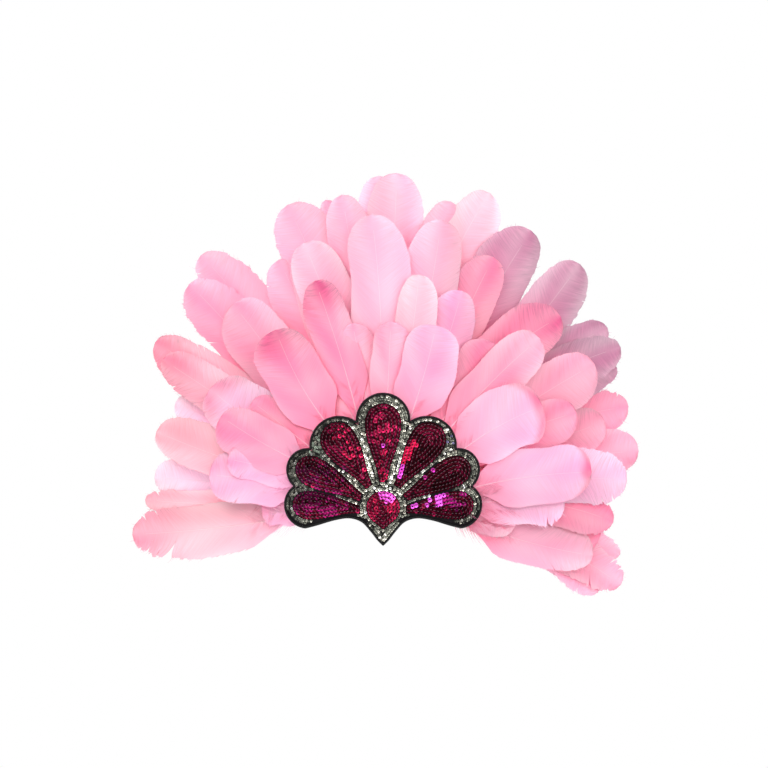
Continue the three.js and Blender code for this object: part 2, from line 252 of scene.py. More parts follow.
# %% [markdown]
# ## Floor
# A plain sheet of backdrop paper lies well below the headdress. It is a disc of two rings of
# faces, closed in the middle, so it has an edge but no seam.

# %% Pale floor
FLOOR_DEPTH = -0.42
FLOOR_RADIUS = 1.0
FLOOR_SIDES = 64
turns = round_angles(FLOOR_SIDES)
reach = np.array([0.0, 0.5, 1.0])[:, None] * FLOOR_RADIUS
floor_points = np.stack([reach * np.cos(turns), reach * np.sin(turns),
                         np.full((3, FLOOR_SIDES), FLOOR_DEPTH)], axis=-1).reshape(-1, 3)
floor_mesh = bpy.data.meshes.new("pale_floor")
floor_mesh.from_pydata(floor_points.tolist(), [], grid_quads(3, FLOOR_SIDES, wrap=True).tolist())
floor = new_object("pale_floor", floor_mesh)
# Matt backdrop paper: no shine, and a faint grain 50 mm wide that keeps it from looking flat.
paper, tree = new_material("matt_backdrop_paper")
grain = add_node(tree, "TexNoise", Scale=40.0)
tone = add_node(tree, "MapRange", Value=grain.outputs["Fac"], To_Min=0.86, To_Max=0.9)
shader = add_node(tree, "BsdfPrincipled", Roughness=0.9, Base_Color=tone.outputs["Result"])
add_node(tree, "OutputMaterial", Surface=shader.outputs[0])
floor_mesh.materials.append(paper)
print("floor of", len(floor_mesh.polygons), "faces at", FLOOR_DEPTH, "m")

# %% [markdown]
# ## The bent surface that everything lies on
# Pad, plaque and fan are bent round the forehead: a round bend in the middle, then straight on.
# The feathers lie in layers on that surface. The layers are close together at the quills and
# fan apart outwards, so a feather can be cupped and still clear its neighbours. The numbers are
# those of the solids, in millimetres.

# %% Bend and layers
BEND_RADIUS = 135
BEND_HALF_WIDTH = 62
PAD_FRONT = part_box("quill_pad")[0][1] / MM
PAD_RADIUS = 50
GAP = 0.3
ROOT_PITCH = 1.5
OUTER_PITCH = 5
PITCH_GROWS = (55, 155)
QUILL_THICKNESS = 1.2
LEAN_BACK = 0.1
LEAN_BACK_FROM = 60
LEAN_BACK_SOFTNESS = 40
LEAN_FORWARD = 10
LEAN_FORWARD_GROWS = (88, 170)


def sweep_back(x):
    """How far back the surface lies: R - sqrt(R^2 - x^2) within the bend, then its tangent."""
    bent = np.minimum(np.abs(x), BEND_HALF_WIDTH)
    arc = BEND_RADIUS - np.sqrt(BEND_RADIUS ** 2 - bent ** 2)
    return arc + (np.abs(x) - bent) * sweep_slope(BEND_HALF_WIDTH)


def sweep_slope(x):
    """The slope of that surface: x / sqrt(R^2 - x^2), up to the end of the bend."""
    bent = np.clip(x, -BEND_HALF_WIDTH, BEND_HALF_WIDTH)
    return bent / np.sqrt(BEND_RADIUS ** 2 - bent ** 2)


def layer_pitch(distance):
    """Distance between layers: it grows smoothly from the root pitch to the outer pitch."""
    return ROOT_PITCH + (OUTER_PITCH - ROOT_PITCH) * smoothstep(distance, *PITCH_GROWS)


def layer_depth(x, z, layer):
    """Depth of a layer: bend + layer x pitch + a soft lean back above 60 mm - a lean forward."""
    distance = np.hypot(x, z)
    above = z - LEAN_BACK_FROM
    lean_back = LEAN_BACK * (above + np.hypot(above, LEAN_BACK_SOFTNESS)) / 2
    lean_forward = LEAN_FORWARD * smoothstep(distance, *LEAN_FORWARD_GROWS)
    front = PAD_FRONT + QUILL_THICKNESS / 2 + sweep_back(x)
    return front + layer * layer_pitch(distance) + lean_back - lean_forward


print("side of the fan lies", round(float(sweep_back(200)), 1), "mm behind its middle")

# %% [markdown]
# ## What a feather is
# A feather is a quill with a vane on each side. A vane is a comb of barbs that leave the quill
# at a slant and cling together. Where they lose hold of each other the vane splits. So the vane
# is a grid: one parameter counts the barbs along the quill, the other runs out along each barb.
# A split is a place where the faces between two barbs are left out and the barbs on either side
# are pushed apart. A flat card with a picture of a feather would be quicker to make, but it has
# no edge, no splits and no thickness.
#
# Each row of the tables is one feather: its tip, widest width, the sideways bow of its quill, its
# layer, the forward curl of its tip, its dye, and how many splits and how frayed an end it has.
# The last table holds the small feathers that a maker tucks between two layers to close a gap.
# A dye is three colours, at the root, in the middle and at the tip.

# %% The feathers of the fan
FEATHER_COLUMNS = ("x", "z", "width", "bow", "layer", "curl", "colour_and_painted_light", "splits", "fray")
BACK_FEATHERS = [
    (-208, -32, 44, -7, 8, 3, "wing", 3, 0.18),
    (-189, 15, 38, 4, 9, 4, "ivory", 2, 0.08),
    (-185, 54, 40, -8, 5, 5, "salmon", 2, 0.08),
    (-171, 78, 32, 0, 9, 2, "ivory", 2, 0.06),
    (-188, 127, 40, 8, 7, 4, "ember", 3, 0.08),
    (-181, 113, 36, 0, 6, 4, "ember", 3, 0.08),
    (-159, 175, 48, 4, 8, 7, "pink", 3, 0.1),
    (-150, 199, 44, 12, 9, 4, "blush", 4, 0.12),
    (-77, 237, 52, 16, 8, 3, "blush", 2, 0.04),
    (-33, 243, 38, 6, 7, 2, "blush", 2, 0.04),
    (11, 261, 48, 0, 9, 4, "blush", 1, 0.03),
    (86, 247, 46, -26, 8, 5, "shell", 2, 0.04),
    (120, 217, 50, -8, 7, 8, "dusk", 2, 0.05),
    (161, 191, 46, 6, 6, 4, "dusk", 2, 0.06),
    (195, 123, 40, -26, 5, 4, "dusk", 3, 0.1),
    (204, 74, 40, -20, 9, 3, "pink", 3, 0.1),
    (212, 37, 42, -12, 8, 4, "pink", 2, 0.06),
    (188, -20, 34, -22, 5, 3, "rose", 3, 0.12),
    (196, -73, 36, -18, 8, 5, "pink", 4, 0.16),
    (177, -79, 34, -24, 9, 2, "blush", 3, 0.1),
]
MIDDLE_FEATHERS = [
    (-139, 89, 50, -8, 4, 6, "misty", 3, 0.03),
    (-121, 157, 50, 2, 6, 6, "pink", 1, 0.02),
    (-63, 205, 44, 10, 6, 4, "blush", 1, 0.02),
    (-9, 225, 48, 8, 3, 5, "blush", 1, 0.03),
    (28, 178, 32, 4, 2, 3, "shell", 1, 0.02),
    (46, 222, 44, 6, 4, 5, "blush", 1, 0.02),
    (62, 166, 36, 6, 3, 4, "lilac", 1, 0.02),
    (88, 194, 40, -4, 5, 5, "rose", 2, 0.03),
    (143, 147, 46, -26, 4, 9, "fold", 2, 0.04),
    (171, 109, 46, -6, 3, 5, "pink", 2, 0.04),
    (182, 62, 40, 0, 7, 3, "pink", 1, 0.04),
    (199, 14, 46, -14, 4, 5, "pearl", 2, 0.08),
    (178, -31, 48, -8, 7, 4, "rose", 2, 0.08),
    (171, -47, 38, 10, 6, 3, "blush", 2, 0.08),
]
FRONT_FEATHERS = [
    (-139, 20, 42, 4, 3, 5, "veil", 2, 0.05),
    (-129, 67, 40, -6, 2, 7, "cap", 1, 0.03),
    (-104, 79, 30, 0, 3, 3, "rose", 1, 0.03),
    (-84, 135, 48, -12, 1, 14, "fold", 2, 0.04),
    (-53, 173, 34, 4, 2, 12, "fold", 2, 0.04),
    (6, 141, 30, 0, 1, 4, "pink", 1, 0.03),
    (41, 138, 44, 4, 0, 7, "lilac", 1, 0.02),
    (89, 124, 38, 0, 2, 2, "rose", 1, 0.02),
    (124, 129, 40, -8, 1, 9, "pink", 2, 0.03),
    (126, 75, 52, -10, 0, 8, "rimmed", 1, 0.02),
    (155, 70, 38, -10, 2, 4, "rose", 1, 0.03),
    (167, 22, 46, -8, 1, 6, "rimmed", 2, 0.04),
    (145, -8, 40, -10, 3, 5, "pearl", 4, 0.12),
]
FILLING_FEATHERS = [
    (-84, 193, 40, 4, 8.5, 3, "pink", 1, 0.05),
    (184, 139, 36, -20, 5.5, 4, "dusk", 3, 0.1),
    (194, 106, 26, -14, 8.5, 3, "dusk", 2, 0.14),
    (54, 239, 40, -10, 8.5, 3, "blush", 1, 0.05),
    (-4, 259, 44, 4, 9.5, 3, "blush", 1, 0.03),
    (-46, 240, 24, 8, 8.6, 3, "pink", 1, 0.05),
    (-197, -3, 24, -6, 8.5, 3, "salmon", 3, 0.2),
    (-38, 108, 36, 0, 3.5, 2, "pink", 0, 0.03),
    (-97, -2, 36, 0, 5.5, 2, "veil", 1, 0.05),
    (196, -48, 24, -14, 8.5, 4, "blush", 3, 0.18),
    (-24, 140, 26, 2, 2.5, 5, "pink", 1, 0.04),
    (-124, 33, 28, 4, 2.5, 4, "veil", 1, 0.06),
    (104, -22, 30, -8, 4.5, 2, "blush", 1, 0.08),
]
# Dyes. The darker tips of some are painted shade: tips that fold over, fold bands on two front
# feathers, one middle feather's greyed tip, and the greyer back feathers on the viewer's right,
# which lie away from the light.
DYES = {
    "pink": ("#ff9dbf", "#fdb0cb", "#fdb9d2"),
    "rose": ("#ff98bb", "#fda4c2", "#f9a3c3"),
    "fold": ("#ff92b8", "#fda4c3", "#e886ab"),
    "blush": ("#ffa5c4", "#fdc0d8", "#fcc6da"),
    "lilac": ("#ff9fc2", "#fdb8d8", "#fbc0e0"),
    "pearl": ("#ffacca", "#fcc8e4", "#fdd2ea"),
    "shell": ("#ffb0c8", "#fbcedd", "#fad3df"),
    "misty": ("#fdc4e2", "#fcd2ea", "#f3a4c2"),
    "veil": ("#fdc0e0", "#fcc6e4", "#fbb6d6"),
    "cap": ("#fdbada", "#fdb0ce", "#fc9dbf"),
    "wing": ("#fdd2e2", "#fbc8d2", "#f6acc0"),
    "ember": ("#fcc6e0", "#fbbfd0", "#f5a2b8"),
    "salmon": ("#fdc0d2", "#fbc6d2", "#f8bcc8"),
    "rimmed": ("#ffa6c6", "#fcc2e0", "#f08fb2"),
    "dusk": ("#ff9cbd", "#eaa5c3", "#d49db7"),
    "ivory": ("#ffb8d0", "#fbdeee", "#fadfea"),
}
TWIST = 0.18
feathers = []
for row_name, rows in (("back", BACK_FEATHERS), ("middle", MIDDLE_FEATHERS),
                       ("front", FRONT_FEATHERS), ("filling", FILLING_FEATHERS)):
    for number, row in enumerate(rows, start=1):
        feather = dict(zip(FEATHER_COLUMNS, row))
        feather["name"] = f"{row_name}_{number:02d}"
        feather["slot"] = f"feather_{'middle' if row_name == 'filling' else row_name}"
        if row_name != "filling":
            feather["node"] = f"feather_{feather['name']}"
        feather["twist"] = TWIST * np.sin(2.4 * number)
        feathers.append(feather)
print("feathers:", len(feathers), "longest reach",
      max(round(float(np.hypot(f["x"], f["z"]))) for f in feathers), "mm")

# %% [markdown]
# ## The line of the quill and the width of the vane
# The quill's line is a quadratic curve from the pad's edge to the tip, pulled sideways in the
# middle. The vane swells from the bare quill over the first half of the length and ends round.

# %% Quill line, vane width and feather surface
ROOT_BEARING_LIMIT = np.radians(98)
VANE_STARTS = 0.04
VANE_FULL = 0.54
VANE_SWELL = 0.8
END_STARTS = 0.8
END_ROUNDNESS = 2.2
CUP_SHARE = 0.5
CURL_STARTS = 0.72


def quill_line(feather):
    """Root, control point and tip of the curve, as (x, z) points."""
    tip = np.array([feather["x"], feather["z"]], dtype=float)
    bearing = np.clip(np.arctan2(tip[0], tip[1]), -ROOT_BEARING_LIMIT, ROOT_BEARING_LIMIT)
    root = np.array([np.sin(bearing), np.cos(bearing)]) * (PAD_RADIUS + GAP)
    bend = (root + tip) / 2 + feather["bow"] * right_of(unit(tip - root))
    return root, bend, tip


def along_line(line, s):
    """Point, direction and right-hand side of the line: (1-s)^2 A + 2 s (1-s) B + s^2 C."""
    root, bend, tip = line
    s = s[..., None]
    point = (1 - s) ** 2 * root + 2 * s * (1 - s) * bend + s ** 2 * tip
    heading = unit(2 * (1 - s) * (bend - root) + 2 * s * (tip - bend))
    return point, heading, right_of(heading)


def half_width(feather, s):
    """Half the vane's width: sine swell to the full width, then a superellipse end."""
    grown = np.clip((s - VANE_STARTS) / (VANE_FULL - VANE_STARTS), 0, 1)
    ended = np.clip((s - END_STARTS) / (1 - END_STARTS), 0, 1)
    swell = np.sin(grown * np.pi / 2) ** VANE_SWELL
    return feather["width"] / 2 * swell * (1 - ended ** END_ROUNDNESS) ** (1 / END_ROUNDNESS)


def feather_depth(feather, x, z, s, across):
    """Depth of the feather's middle: its layer, cupped and twisted within the layer's room, with
    the tip curled forward as the square of its length."""
    room = layer_pitch(np.hypot(x, z)) - QUILL_THICKNESS - GAP
    own = room * (CUP_SHARE * across ** 2 + feather["twist"] * across)
    curled = np.clip((s - CURL_STARTS) / (1 - CURL_STARTS), 0, None)
    return layer_depth(x, z, feather["layer"]) + own - feather["curl"] * curled ** 2


example = quill_line(feathers[10])
print("top feather: quill", round(float(np.linalg.norm(example[2] - example[0]))), "mm long")

# %% [markdown]
# ## The feather's finish
# Dyed goose: the barbs are keratin, a little translucent and silky. The dye takes unevenly, so
# the colour is a value stored on each point, and fine streaks run out along the barbs. Light
# that comes through the vane is what makes a pile of feathers glow, so a translucent shader is
# mixed in. Light that has gone through is dyed more deeply than light thrown back.

# %% Feather materials
# Real barbs are 0.3 mm apart, too fine to show, so the streaks are drawn 1.3 mm wide.
STREAK_MM = 1.3
DEEPER_DYE = 1.42


def feather_material(name, streak, through, bump_strength):
    """Dye x (1 + streak x strength x noise), silky, mixed with light that passes through. The
    strength is the dye's fourth number."""
    material, tree = new_material(name)
    colour_and_painted_light = add_node(tree, "Attribute", attribute_name="colour_and_painted_light")
    uv = add_node(tree, "UVMap", uv_map="along_and_across")
    stretch = add_node(tree, "Mapping", Vector=uv.outputs["UV"], Scale=(1 / STREAK_MM, 1.2, 1.0))
    streaks = add_node(tree, "TexNoise", Vector=stretch.outputs["Vector"],
                       Scale=1.0, Detail=4.0, Roughness=0.65)
    signed = add_node(tree, "MapRange", Value=streaks.outputs["Fac"], From_Min=0.32,
                      From_Max=0.62, To_Min=-streak, To_Max=streak * 0.4)
    tone = add_node(tree, "Math", signed.outputs["Result"], colour_and_painted_light.outputs["Alpha"], 1.0,
                    operation="MULTIPLY_ADD")
    colour = add_node(tree, "VectorMath", operation="SCALE", Vector=colour_and_painted_light.outputs["Color"],
                      Scale=tone.outputs["Value"])
    bump = add_node(tree, "Bump", Height=streaks.outputs["Fac"], Strength=bump_strength,
                    Distance=0.0006)
    silk = add_node(tree, "BsdfPrincipled", Base_Color=colour.outputs["Vector"],
                    Normal=bump.outputs["Normal"], Roughness=0.55, IOR=1.54,
                    Sheen_Weight=0.15, Sheen_Roughness=0.4)
    deeper = add_node(tree, "Gamma", Color=colour.outputs["Vector"], Gamma=DEEPER_DYE)
    glow = add_node(tree, "BsdfTranslucent", Color=deeper.outputs["Color"])
    mix = add_node(tree, "MixShader", through, silk.outputs[0], glow.outputs[0])
    add_node(tree, "OutputMaterial", Surface=mix.outputs[0])
    return material


# The vane: silky, streaked and lit from behind, so that piled feathers glow at their edges.
vane_material = feather_material("dyed_goose_vane", streak=0.16, through=0.4, bump_strength=0.4)
# The quill: the same horn in one smooth tube, a pale line that hardly streaks.
quill_material = feather_material("dyed_goose_quill", streak=0.05, through=0.38,
                                  bump_strength=0.1)
print("feather materials:", vane_material.name, quill_material.name)

# %% [markdown]
# ## One vane
# Barb i leaves the quill at s_i and ends further towards the tip, by a third of what is left of
# the quill, so the barbs slant and sweep round the end without ever passing it. Splits push the
# barbs apart near their ends. Groups of barbs differ a little in length, which frays the edge.

# %% Vane
BARBS = 120
BARB_STEPS = 8
BARB_SLANT = 0.34
SPLIT_CHANCE = 0.45
FLUTE_MM = 0.8
WAVE_MM = 0.5
# Tears that show in the real fan: side of the quill, place along it, how far out from the quill
# the tear begins, and its opening in mm.
TEARS = {
    "back_01": [(-1, 0.74, 0.3, 9), (-1, 0.88, 0.4, 2.5), (-1, 0.94, 0.5, 2), (1, 0.9, 0.5, 3),
                (1, 0.8, 0.6, 2)],
    "back_08": [(-1, 0.93, 0.5, 2), (-1, 0.88, 0.6, 1.5)],
    "back_19": [(1, 0.8, 0.4, 4), (-1, 0.86, 0.5, 3), (-1, 0.93, 0.5, 2)],
    "back_20": [(-1, 0.9, 0.4, 4), (1, 0.86, 0.5, 2)],
    "front_13": [(-1, 0.8, 0.4, 2.5), (-1, 0.9, 0.5, 2), (1, 0.84, 0.4, 2.5), (1, 0.92, 0.5, 2)],
    "filling_07": [(-1, 0.82, 0.3, 3), (1, 0.9, 0.3, 2.5)],
    "middle_12": [(1, 0.82, 0.5, 2), (1, 0.9, 0.5, 2)],
    "middle_13": [(1, 0.86, 0.4, 4), (-1, 0.9, 0.5, 2)],
}


def tears_of(feather, side):
    """The tears seen in the real fan and a few more at random, most of them near the tip."""
    tears = [row[1:] for row in TEARS.get(feather["name"], []) if row[0] == side]
    for _ in range(rng.binomial(feather["splits"], SPLIT_CHANCE)):
        tears.append((0.97 - rng.random() ** 1.6 * 0.4, rng.uniform(0.45, 0.85),
                      rng.uniform(0.4, 1.2) * (1 + 8 * feather["fray"])))
    return tears


def vane_grid(feather, side):
    """s = s_i + (1 - s_i) slant u, with the pushes of the splits, and across = side u (1 - fray).
    Slow sines make the outline uneven and flute the tip. Returns the points in mm, s, across, the
    distance of each barb along the quill in mm, and the faces."""
    line = quill_line(feather)
    length = np.linalg.norm(line[2] - line[0])
    start = np.linspace(VANE_STARTS, 1, BARBS)[:, None]
    u = np.linspace(0, 1, BARB_STEPS)[None, :]
    s = start + (1 - start) * BARB_SLANT * u
    kept = np.ones((BARBS - 1, BARB_STEPS - 1), dtype=bool)
    lift = np.zeros_like(s)
    spacing = (1 - VANE_STARTS) / (BARBS - 1)
    for place, deep, opening in tears_of(feather, side):
        near = np.exp(-np.abs(start - place) / (0.04 + 0.008 * opening))
        mouth = np.clip((u - deep) / (1 - deep), 0, 1) ** 2 * opening / 2 / length
        closing = 0.47 * spacing * smoothstep(u, 0, deep)
        s = s + np.sign(start - place) * near * (mouth - closing) * (start < 0.985)
        lift = lift + rng.normal(0, 0.4) * near * u ** 2 * (start > place)
        row = int((place - VANE_STARTS) / spacing)
        kept[row, int(deep * (BARB_STEPS - 1)):] = False
    s = np.clip(s, 0, 1)
    groups = np.repeat(rng.random(BARBS // 4 + 1), 4)[:BARBS, None]
    end_only = smoothstep(start, 0.5, 0.95)
    short = feather["fray"] * groups * (0.2 + end_only) + 0.015 * rng.random((BARBS, 1))
    across = side * u * (1 - short * u)
    point, _, right = along_line(line, s)
    phase = feather["phase"] + side
    form = 1 + 0.06 * np.sin(7 * s + 1.7 * phase) + 0.025 * np.sin(19 * s + phase)
    form = form + side * 0.07 * np.sin(2 * feather["phase"])
    flat = point + right * (half_width(feather, s) * across * form)[..., None]
    flutes = FLUTE_MM * np.sin(5.5 * across + 3 * phase) * smoothstep(s, 0.55, 0.95)
    wave = (WAVE_MM * np.sin(9 * s + 2 * phase) + flutes) * across ** 2
    depth = feather_depth(feather, flat[..., 0], flat[..., 1], s, across) + lift + wave
    quads = grid_quads(BARBS, BARB_STEPS)[kept.ravel()]
    run = start * length + 0 * u
    return in_space(flat, depth), s, across, run, quads if side > 0 else quads[:, ::-1]


print("a vane has", BARBS, "barbs, and", len(TEARS), "feathers are torn where the real ones are")

# %% [markdown]
# ## Loose barbs and down
# Some barbs have let go of their neighbours and stand past the vane's edge, which is what makes
# a feather's outline soft. At the root they never cling: that is down, long and limp, and there
# is most of it on the low feathers. Each barb is a strip, because a tube would show no more.

# %% Loose barbs
FRINGE_BARBS = 72
FRINGE_MM = (1.25, 6)
DOWN_BARBS = 24
DOWN_MM = (5, 11)
LOW_FEATHER_DOWN = (3, 1.7)
LOOSE_WIDTH_MM = 0.34


def loose_barbs(roots, ways, lengths, forward):
    """Single barbs, each a strip of three stations: root + way length t + forward bend t^2, with
    the width falling from a third of a millimetre to nearly nothing."""
    t = np.array([0, 0.55, 1.0])[None, :, None]
    ways = unit(ways)
    bend = forward * (lengths * rng.uniform(0, 0.35, len(lengths)))[:, None]
    bend[:, 1] += rng.normal(0, 0.12, len(lengths)) * lengths
    middle = roots[:, None] + ways[:, None] * lengths[:, None, None] * t + bend[:, None] * t ** 2
    half = in_space(right_of(ways[:, [0, 2]]))[:, None] * (LOOSE_WIDTH_MM / 2 * (1.08 - t))
    points = np.stack([middle - half, middle + half], axis=2)
    one = np.array([(0, 1, 3, 2), (2, 3, 5, 4)])
    quads = (one[None] + 6 * np.arange(len(roots))[:, None, None]).reshape(-1, 4)
    return points.reshape(-1, 3), quads


def fringe(feather, side, points, s):
    """The loose barbs of one vane: the fringe starts on its edge, a millimetre inside, and goes
    on as the barbs do; the down starts on the quill, out and forwards."""
    row = np.sort(rng.uniform(4, BARBS - 1.01, FRINGE_BARBS))
    low = row.astype(int)
    part = (row - low)[:, None]
    edge = points[low, -1] * (1 - part) + points[low + 1, -1] * part
    inner = points[low, -3] * (1 - part) + points[low + 1, -3] * part
    lengths = rng.gamma(2.0, 0.3, FRINGE_BARBS) * (1 + 9 * feather["fray"]) + FRINGE_MM[0]
    _, heading, _ = along_line(quill_line(feather), s[low, -1])
    forward = in_space(heading)
    ways = edge - inner + forward * 1.5
    more, longer = LOW_FEATHER_DOWN if feather["z"] < 0 else (1, 1)
    down_s = rng.uniform(0.02, 0.34, DOWN_BARBS * more)
    point, heading, right = along_line(quill_line(feather), down_s)
    depth = feather_depth(feather, point[:, 0], point[:, 1], down_s, 0 * down_s)
    down_forward = in_space(heading)
    down_lengths = rng.uniform(*DOWN_MM, len(down_s)) * longer
    made, quads = loose_barbs(np.vstack([edge - unit(ways) * 1.1, in_space(point, depth)]),
                              np.vstack([ways, in_space(right) * side + 0.9 * down_forward]),
                              np.r_[np.minimum(lengths, FRINGE_MM[1]), down_lengths],
                              np.vstack([forward, down_forward]))
    along = np.repeat(np.r_[s[low, -1], down_s], 6)
    return made, along, np.full(len(along), 0.98 * side), along * 100, quads


print("each vane has", FRINGE_BARBS, "loose barbs and", DOWN_BARBS, "of down or more")

# %% [markdown]
# ## The quill
# A quill is a hollow tube of horn that tapers from the root to a hair at the tip. Here it is an
# ellipse carried along the line, closed at both ends. It sinks into the vane on the way, so that
# only a faint line is left of it, as on the real feathers.

# %% Quill
QUILL_STEPS = 34
QUILL_SIDES = 6
QUILL_END = 0.93
QUILL_HALF_MM = (0.1, 0.95)
QUILL_RISE_MM = (0.12, 0.46)
QUILL_SINKS_MM = 0.05
QUILL_PROUD_MM = 0.04


def quill_tube(feather):
    """Half-width and rise a + b (1 - s)^2.6, round the line in six corners. Like the other
    parts it returns points, s, across, distance along the quill and faces."""
    s = np.linspace(0, QUILL_END, QUILL_STEPS)
    point, _, right = along_line(quill_line(feather), s)
    turn = round_angles(QUILL_SIDES)
    fine = ((1 - s) ** 2.6)[:, None]
    half = (QUILL_HALF_MM[0] + QUILL_HALF_MM[1] * fine) * np.cos(turn)
    rise = (QUILL_RISE_MM[0] + QUILL_RISE_MM[1] * fine) * np.sin(turn)
    flat = point[:, None] + right[:, None] * half[..., None]
    depth = feather_depth(feather, point[:, 0], point[:, 1], s, 0 * s)
    sunk = QUILL_SINKS_MM * smoothstep(s, 0.3, 0.8) - QUILL_PROUD_MM
    points = in_space(flat, (depth + sunk)[:, None] + rise)
    ends = [np.repeat(ring.mean(axis=0)[None, None], QUILL_SIDES, axis=1)
            for ring in (points[0], points[-1])]
    rings = np.concatenate([ends[0], points, ends[1]])
    s = np.repeat(np.r_[0, s, 1], QUILL_SIDES)
    quads = grid_quads(QUILL_STEPS + 2, QUILL_SIDES, wrap=True)
    return rings.reshape(-1, 3), s, 0 * s, s * 100, quads


print("quill:", 2 * round(sum(QUILL_HALF_MM), 2), "mm wide at the root")

# %% [markdown]
# ## The dye
# Feathers are dyed in a bath and the dye takes as it likes: deeper where the barbs are dense,
# paler at the rims, cloudy in between. The pale rims and the clouds are partly painted highlight
# and shade too. Some tips here are darker, and that is painted shade: of tips that fold over on
# the real fan, of fold bands on two front feathers, of one middle feather's greyed tip, and of the
# back feathers on the viewer's right, which lie away from the light. All of that is a colour
# worked out for each point.

# %% Dye
# How much the rims and the clouds are mixed with white: uneven dye and painted highlight together;
# where the clouds dip below zero they paint shade.
RIM_WHITE_AND_HIGHLIGHT = 0.16
CLOUD_AND_HIGHLIGHT_WHITE = 0.15
VANE_DIFFERENCE = 0.07
# Where along the quill the tip's colour begins and is full, for the dyes whose darker tips are
# painted shade, and how much the streaks show.
TIP_BLEND = {"rimmed": (0.9, 0.97), "fold": (0.72, 1), "misty": (0.82, 1), "dusk": (0.55, 0.95)}
STREAKY = {"pearl": 1.4, "dusk": 1.2, "ember": 1.6, "wing": 1.4, "fold": 1.5, "misty": 1.3}


def dye_of(feather, s, across):
    """Root, middle and tip colours blended along the quill, mixed with white as |across|^3 and
    in clouds sin(9 s - 2.5 |across|) sin(4 s + 3 across), one vane a little paler than the other.
    The white rims and the clouds are uneven dye and painted highlight and shade together. The
    fourth number is how strongly the streaks show, more towards the tip and the edges."""
    root, body, tip = (linear(colour) for colour in DYES[feather["colour_and_painted_light"]])
    first = smoothstep(s, 0.1, 0.62)[:, None]
    uneven_end = s + 0.06 * np.abs(across) * np.sin(7 * s + feather["phase"])
    uneven_end = uneven_end + 0.1 * across ** 4 * smoothstep(s, 0.6, 0.9)
    last = smoothstep(uneven_end, *TIP_BLEND.get(feather["colour_and_painted_light"], (0.7, 1)))[:, None]
    colour = (root * (1 - first) + body * first) * (1 - last) + tip * last
    clouds_and_highlights = np.sin(9 * s - 2.5 * np.abs(across) + 2 * feather["phase"])
    clouds_and_highlights = clouds_and_highlights * np.sin(4 * s + 3 * across + feather["phase"])
    white = RIM_WHITE_AND_HIGHLIGHT * np.abs(across) ** 3 + CLOUD_AND_HIGHLIGHT_WHITE * clouds_and_highlights
    white = (white * smoothstep(s, 0.3, 0.6))[:, None]
    colour = colour * (1 - white) + white
    vane = (feather["shade"] * across * VANE_DIFFERENCE)[:, None]
    colour = np.clip(colour * (1 + vane) * feather["tone"], 0, 1)
    show = 0.3 + STREAKY.get(feather["colour_and_painted_light"], 0.7) * smoothstep(s, 0.5, 0.95) * np.abs(across)
    return np.column_stack([colour, show])


print("dyes:", len(DYES))

# %% [markdown]
# ## Sixty feathers
# Both vanes, their loose barbs and the quill go into one mesh. The left vane's first points are
# the right vane's, so the sheet goes on unbroken under the quill. A quarter of a millimetre of
# thickness is added last, because a sheet without any would show no edge to the light.

# %% Feathers
VANE_THICKNESS_MM = 0.25
QUILL_PALE = 0.3


def build_feather(feather):
    """Shade, tone and phase are drawn first. Then the parts are joined: each adds the number of
    points before it to its faces, except where the left vane uses the right vane's points."""
    feather["shade"] = rng.choice([-1, 1])
    feather["tone"] = rng.uniform(0.97, 1.03)
    feather["phase"] = rng.uniform(0, 2 * np.pi)
    parts = []
    for side in (1, -1):
        points, s, across, run, quads = vane_grid(feather, side)
        parts.append((points.reshape(-1, 3), s.ravel(), across.ravel(), run.ravel(), quads))
        parts.append(fringe(feather, side, points, s))
    parts.append(quill_tube(feather))
    starts = np.cumsum([0] + [len(part[0]) for part in parts])
    points, s, across, run = (np.concatenate(arrays) for arrays in list(zip(*parts))[:4])
    faces = [part[4] + start for part, start in zip(parts, starts)]
    left = parts[2][4]
    faces[2] = np.where(left % BARB_STEPS == 0, left, faces[2])
    looks = np.repeat([0, 1], [sum(map(len, faces[:-1])), len(faces[-1])])
    colour_and_painted_light = dye_of(feather, s, across)
    pale = np.r_[linear("#fff4f6"), 0.3] * QUILL_PALE
    colour_and_painted_light[starts[-2]:] = colour_and_painted_light[starts[-2]:] * (1 - QUILL_PALE) + pale
    piece = make_piece(f"goose_{feather['name']}", points * MM, np.concatenate(faces),
                       [vane_material, quill_material], colour_and_painted_light,
                       np.column_stack([run, across]), looks)
    wall = piece.modifiers.new("vane_thickness", "SOLIDIFY")
    wall.thickness = VANE_THICKNESS_MM * MM
    wall.offset = 0
    if "node" in feather:
        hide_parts(feather["node"])


for feather in feathers:
    build_feather(feather)
print("built", len(feathers), "feathers")

# %% [markdown]
# ## The plaque's outline
# The plaque has seven round lobes and a pointed foot. Each lobe is the arc through three points.
# The same outline gives the stitched edge, and moved inwards it gives the rows of sequins.

# %% Outline of the plaque
# A lobe is the start, a middle and the end of its arc, and the lower edge is a curve's points.
LOBES = [
    (-20.9, 64.1, 0, 86, 20.9, 64.1),
    (20.9, 64.1, 50.6, 61, 57.1, 42.8),
    (57.1, 42.8, 75.6, 27.2, 69.9, 13.1),
    (69.9, 13.1, 77.3, 0, 60.3, -19.5),
]
LOWER_EDGE = [(60.3, -19.5), (51.5, -17), (37.5, -12.6), (26, -10.9), (16.5, -13.8),
              (9.4, -21.2), (4.4, -27.6), (0, -32)]
ARC_STEPS = 40
CURVE_STEPS = 12
OUTLINE_STEP_MM = 0.25


